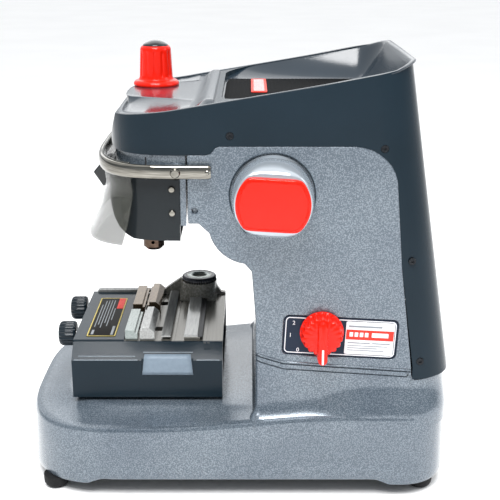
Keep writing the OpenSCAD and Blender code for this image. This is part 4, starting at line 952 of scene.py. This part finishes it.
# clear polycarbonate with a smoke tint, fogged by fine scuffs
smoke, t = new_finish("smoked_clear_polycarbonate")
where = add_node(t, "ShaderNodeTexCoord").outputs["Object"]
scuff = add_node(t, "ShaderNodeTexNoise",
                 {"Vector": where, "Scale": 260.0, "Detail": 4.0}).outputs["Fac"]
close_finish(t, (scuff, (0.35, "#41423d"), (0.7, "#54554f")),
             (scuff, (0.3, "#1c1c1c"), (0.7, "#3c3c3c")), IOR=1.49, Alpha=0.5)
waist_z = 286
foot_spread = -120.9 - shield_lo[0]
behind_rail = 1.2
a = np.radians(np.linspace(-64, 64, 97))
rows = []
for z in np.linspace(rail_hi[2] + 0.5, shield_lo[2], 34):
    flare = ((waist_z - z) / (waist_z - shield_lo[2])) ** 1.7 if z < waist_z else 0.0
    waist = behind_rail + 1.6 * math.exp(-((z - waist_z) / 10) ** 2)
    plan = nose_line(rail_len - waist + foot_spread * flare, rail_half - waist + 2.0 * flare, a)
    lift = 4.0 * (np.abs(plan[:, 1]) / 110) ** 2 * (1 - ease(shield_lo[2], waist_z, z))
    rows.append(np.column_stack([plan, z + lift]))
thicken(put(surface("guard_clear_shield", np.array(rows)), smoke, "guard", "clear_guard",
            "guard_shield"), 1.8, -1)
soft_copy("guard_grip_tab", "guard_tab", 1.0, gloss_black, "guard", "black_plastic", 2)

# ---- Cross table ----
# A milled aluminium top plate with keyways in a slate ABS housing. The plate slides on the
# saddle and carries the vices; a printed film label is stuck on the housing's front part.
# milled across the machine: dull warm bands 40 mm long, the cutter's marks 1.2 mm apart
milled = metal("milled_aluminium_plate", "#67655f", "#75736d", "#787878", "#8c8c8c",
               marks_mm=(1.2, 40.0, 1.2), height=0.000004, Metallic=0.45)
soft_copy("table_milled_plate", "table_plate", 0.5, milled, "table", "table_alloy", 2)
soft_copy("table_housing_shell", "table_housing", 1.3, slate, "table", "slate_plastic")
housing_lo, housing_hi = span("table_housing")
# bright panel in the near wall's shallow pocket, bent back over the bevel, and thin light
# bars where the bevel begins: painted highlights along the edge
side_y = housing_lo[1]
bevel_z = 119.0
bevel_slope = 15 / 13
panel_up = np.array([104.4, 108, 114, 119.2, 120.4, 121.6, 123.4])[:, None]
panel_across = np.linspace(-1, 1, 9)[None, :]
panel_x_half = np.interp(panel_up, [104, 124], [24.0, 21.7])
panel_y = side_y + np.maximum((panel_up - 103.5) / 14,
                              (panel_up - bevel_z) * bevel_slope - 0.3)
silver_film = film("silver_anodised_film", "#7d8b98", 0.4)
panel_middle = -65.7
thicken(put(surface("table_pocket_panel", np.stack([
    panel_middle + panel_x_half * panel_across, panel_y + 0 * panel_across,
    panel_up + 0 * panel_across], -1)), silver_film, "table", "silver_gloss"), 0.6, 0)
# light grey ABS colour for the thin bars along the bevel's edge: painted highlights
edge_highlight_paint = moulded("painted_highlight_abs_edge", "#8d98a1", "#a3adb5", "#404040", "#545454",
               height=0.00002)
highlight_bars = []
for x0, x1, z in ((housing_lo[0] + 2, -93.5, 119.3), (-89.0, -42.0, 124.6),
                  (-38.5, housing_hi[0] - 2.5, 119.3), (housing_lo[0] + 6, -96, 121.9)):
    bar_part = plate(x0, x1, -0.35, 0.35, 0.3, -0.2, 0.3, 0.1)
    slope_y = side_y + max(0.0, z - bevel_z) * bevel_slope
    highlight_bars.append(np.stack([bar_part[..., 0], slope_y - bar_part[..., 2] * 0.8,
                               z + bar_part[..., 1] + 0.6 * bar_part[..., 2]], -1))
put(surface("table_bevel_painted_highlights", *highlight_bars), edge_highlight_paint, "table", "slate_plastic")
slots = [plate(x, x + w, v, v + 2.0, 0.3, 133.8, 134.12, 0.05)
         for x, w, v in ((-123.5, 4.5, -66.5), (-32.0, 2.2, -76.2), (-28.6, 2.2, -76.2))]
put(surface("table_small_slots", *slots), black_abs, "table", "black_plastic")

# raised bar, key slot and serrated stop strip along the milled plate, and a rounded far edge; the
# key slot is only a thin black strip, painted shade in place of a groove


def bar_along_y(x0, x1, y0, y1, z0, z1, ease_mm):
    """Straight bar along Y: an eased rectangle in X and Z carried from y0 to y1."""
    section = np.array([(x0, z0), (x0, z1 - ease_mm), (x0 + 0.3 * ease_mm, z1 - 0.3 * ease_mm),
                        (x0 + ease_mm, z1), (x1 - ease_mm, z1),
                        (x1 - 0.3 * ease_mm, z1 - 0.3 * ease_mm), (x1, z1 - ease_mm), (x1, z0),
                        (x0, z0)])
    middle = np.array([[(x0 + x1) / 2, (z0 + z1) / 2]])
    grid = [np.column_stack([points[:, 0], 0 * points[:, 0] + y, points[:, 1]])
            for points, y in ((np.repeat(middle, 9, 0), y0), (section, y0), (section, y1),
                              (np.repeat(middle, 9, 0), y1))]
    return np.array(grid)


plate_top = span("table_plate")[1][2]
plate_near = -64.9
bar_far = 38
put(surface("table_raised_bar", bar_along_y(-51, -38, plate_near, bar_far, plate_top - 0.3,
                                            plate_top + 2.2, 0.8)), machined_alloy, "table",
    "table_alloy")
# a thin black strip beside the raised bar: painted shade standing for the key slot
put(surface("table_bar_shadow_slot", bar_along_y(-37.8, -33.6, plate_near, bar_far,
                                                 plate_top - 0.3, plate_top + 0.1, 0.05)),
    black_steel, "table", "table_alloy")
tooth_count = 72
run = np.linspace(plate_near, 60, tooth_count * 2 + 1)
teeth = 0.7 * (np.arange(len(run)) % 2)
profile = ((-72.6, -0.3), (-72.6, 0.5), (-71.8, 1.0), (-64.4, 1.0), (-63.6, 0.5), (-63.6, -0.3),
           (-72.6, -0.3))
rack = np.array([np.column_stack([0 * run + x, run, plate_top + h + teeth * (h > 0)])
                 for x, h in profile])
rack_ends = [np.stack([rack[:, k], np.repeat([[-68, run[k], plate_top]], 7, 0)]) for k in (0, -1)]
put(surface("table_serrated_strip", rack, *rack_ends, sharp=20), machined_alloy, "table",
    "table_alloy")
far_edge = np.array([(63.8, 133.6), (63.8, 136.4), (64.6, 137.0), (70.0, 137.0), (72.6, 136.2),
                     (74.8, 134.2), (75.2, 132.0), (63.8, 133.6)])
far_rows = [np.column_stack([0 * far_edge[:, 0] + x, (far_edge - [68, 134]) * k + [68, 134]])
            for x, k in ((-151.2, 0.0), (-151.2, 0.55), (-150.2, 0.85), (-148.0, 1.0),
                         (-80.5, 1.0), (-80.5, 0.0))]
put(surface("table_far_edge_strip", np.array(far_rows)), machined_alloy, "table", "table_alloy")

# printed label: black film with a yellow border, plain grey lines and a red block
label_lo, label_hi = span("table_label")
x0, y0 = label_lo[:2]
x1, y1, label_z = label_hi
black_film = film("black_ink_on_film", "#0e0c09", 0.5, Specular_IOR_Level=0.1)
yellow_film = film("yellow_ink_on_film", "#c8b460")
put(surface("table_label_sheet", plate(x0, x1, y0, y1, 2.0, label_lo[2] - 0.1, label_z)),
    black_film, "table", "black_print", "table_label")
outline = frame_line(x0 + 0.3, x1 - 0.3, y0 + 0.3, y1 - 0.3, 1.8, 1.1, 0.12)
put(surface("table_label_outline", outline + [0, 0, label_z - 0.02]), yellow_film, "table",
    "panel_print")
rows_of_print = [(x0 + 4.2, -36, 25), (x0 + 7.0, -30, 36), (x0 + 9.8, -38, 37),
                 (x0 + 12.6, -26, 38), (x0 + 15.4, -34, 38), (x0 + 18.2, -18, 14),
                 (x0 + 3.6, -55, -44), (x0 + 22.4, -56, -34)]
put(surface("table_label_lines", *[
    plate(x, x + (0.9 if k < 6 else 2.4), v0, v1, 0.3, label_z - 0.05, label_z + 0.14, 0.03)
    for k, (x, v0, v1) in enumerate(rows_of_print)]), grey_film, "table", "panel_print")
put(surface("table_label_red_block", plate(x1 - 8.2, x1 - 1.6, 14, y1 - 1.8, 0.6, label_z - 0.05,
                                           label_z + 0.15, 0.03)), red_film, "table", "red_print")

# ---- Vices ----
# Two screw vices with hardened steel jaws, the near pair bright and the far pair tempered to
# straw; each moving jaw is drawn by a screw with a fluted slate ABS knob at the front.
# ground jaw steels, marks 0.6 mm apart and 3 mm long: cold grey, straw brown, satin chrome
pale_jaw = metal("ground_jaw_steel", "#7c8482", "#989f9c", "#404040", "#5c5c5c",
                 marks_mm=(0.6, 3.0, 0.6), Metallic=0.6)
straw_jaw = metal("straw_tempered_steel", "#57493a", "#6e5f4c", "#4c4c4c", "#666666",
                  marks_mm=(0.6, 3.0, 0.6), Metallic=0.7)
white_jaw = metal("satin_chromed_steel", "#8c8d8b", "#a9aaa8", "#4c4c4c", "#666666",
                  marks_mm=(0.6, 3.0, 0.6), Metallic=0.4)
soft_copy("vice_fixed_jaw_near", "fixed_jaw_near", 0.5, pale_jaw, "table", "jaw_steel", 2)
soft_copy("vice_fixed_jaw_far", "fixed_jaw_far", 0.5, straw_jaw, "table", "jaw_steel", 2)
soft_copy("vice_moving_jaw_near", "moving_jaw_near", 0.6, white_jaw, "jaw_near", "jaw_steel", 2)
soft_copy("vice_moving_jaw_far", "moving_jaw_far", 0.6, straw_jaw, "jaw_far", "jaw_steel", 2)
finish(bright_steel, "clamp_screw_near", "clamp_screw_far")
# the cover's slate ABS from a smoother mould, a little glossier
knob_abs = moulded("slate_knob_abs", "#121b22", "#19242c", "#484848", "#5c5c5c", height=0.00003,
                   Specular_IOR_Level=0.35)


def grip(a, r, h):
    """Finger flutes round the knob: the radius dips by a raised cosine, 18 times round."""
    return r - 0.9 * (0.5 + 0.5 * np.cos(18 * a)) ** 1.5 * (r > 11)


for name in ("near", "far"):
    lo, hi = span("clamp_knob_" + name)
    knob_r, knob_len = (hi[2] - lo[2]) / 2, hi[0] - lo[0]
    shape = [(0, 0), (6, 0.1), (9.0, 0.5), (10.6, 1.3), (knob_r - 0.5, 2.4), (knob_r, 3.8),
             (knob_r, 8), (knob_r, 12), (knob_r, knob_len - 2.2), (knob_r - 0.5, knob_len - 1.0),
             (10.6, knob_len - 0.3), (9, knob_len), (0, knob_len)]
    put(surface("clamp_knob_fluted_" + name,
                turned(shape, (lo[0], (lo[1] + hi[1]) / 2, (lo[2] + hi[2]) / 2), "x", 216, grip),
                sharp=50), knob_abs, "clamp_" + name, "knob_plastic", "clamp_knob_" + name)

# ---- Lever socket ----
# A cast bracket on the far edge of the table with a threaded bush for the table's hand lever,
# locked by a black knurled ring.
# unpainted sand casting: a dull warm grey skin with a grain of 1.2 mm
cast_brown = metal("sand_cast_aluminium", "#83817a", "#96938b", "#808080", "#989898",
                   marks_mm=(1.2, 1.2, 1.2), height=0.00003, Metallic=0.1)
soft_copy("lever_bracket", "lever_socket", 0.7, cast_brown, "table", "socket_steel", 2)
socket_top = span("lever_socket")[1][2]
socket_axis = (-42.0, 56.0, 0)


def knurl(a, r, h):
    """Straight knurls 1.8 mm apart round the outside."""
    return r - 0.45 * (0.5 + 0.5 * np.cos(60 * a)) * (r > 16.5)


top = socket_top
ring = [(9.5, top - 6), (17.6, top - 6), (17.9, top - 5.4), (17.9, top - 1.6), (17.0, top - 0.4),
        (15.6, top + 0.1), (13.2, top + 0.1), (12.4, top - 0.5), (9.5, top - 1.2), (9.5, top - 6)]
# blacked steel, rubbed lighter in places
blacked = metal("blacked_knurled_steel", "#26262a", "#45464a", "#4c4c4c", "#686868")
put(surface("lever_socket_knurled_ring",
            turned(ring, socket_axis, steps=240, wave=knurl), sharp=45), blacked, "table",
    "socket_steel")
bush = [(7.2, top - 5), (12.2, top - 5), (12.2, top - 0.1), (11.6, top + 0.25), (8.4, top + 0.25),
        (7.2, top - 0.8), (7.2, top - 5)]
put(surface("lever_socket_bright_bush", turned(bush, socket_axis, steps=96)), pale_jaw,
    "table", "socket_steel")
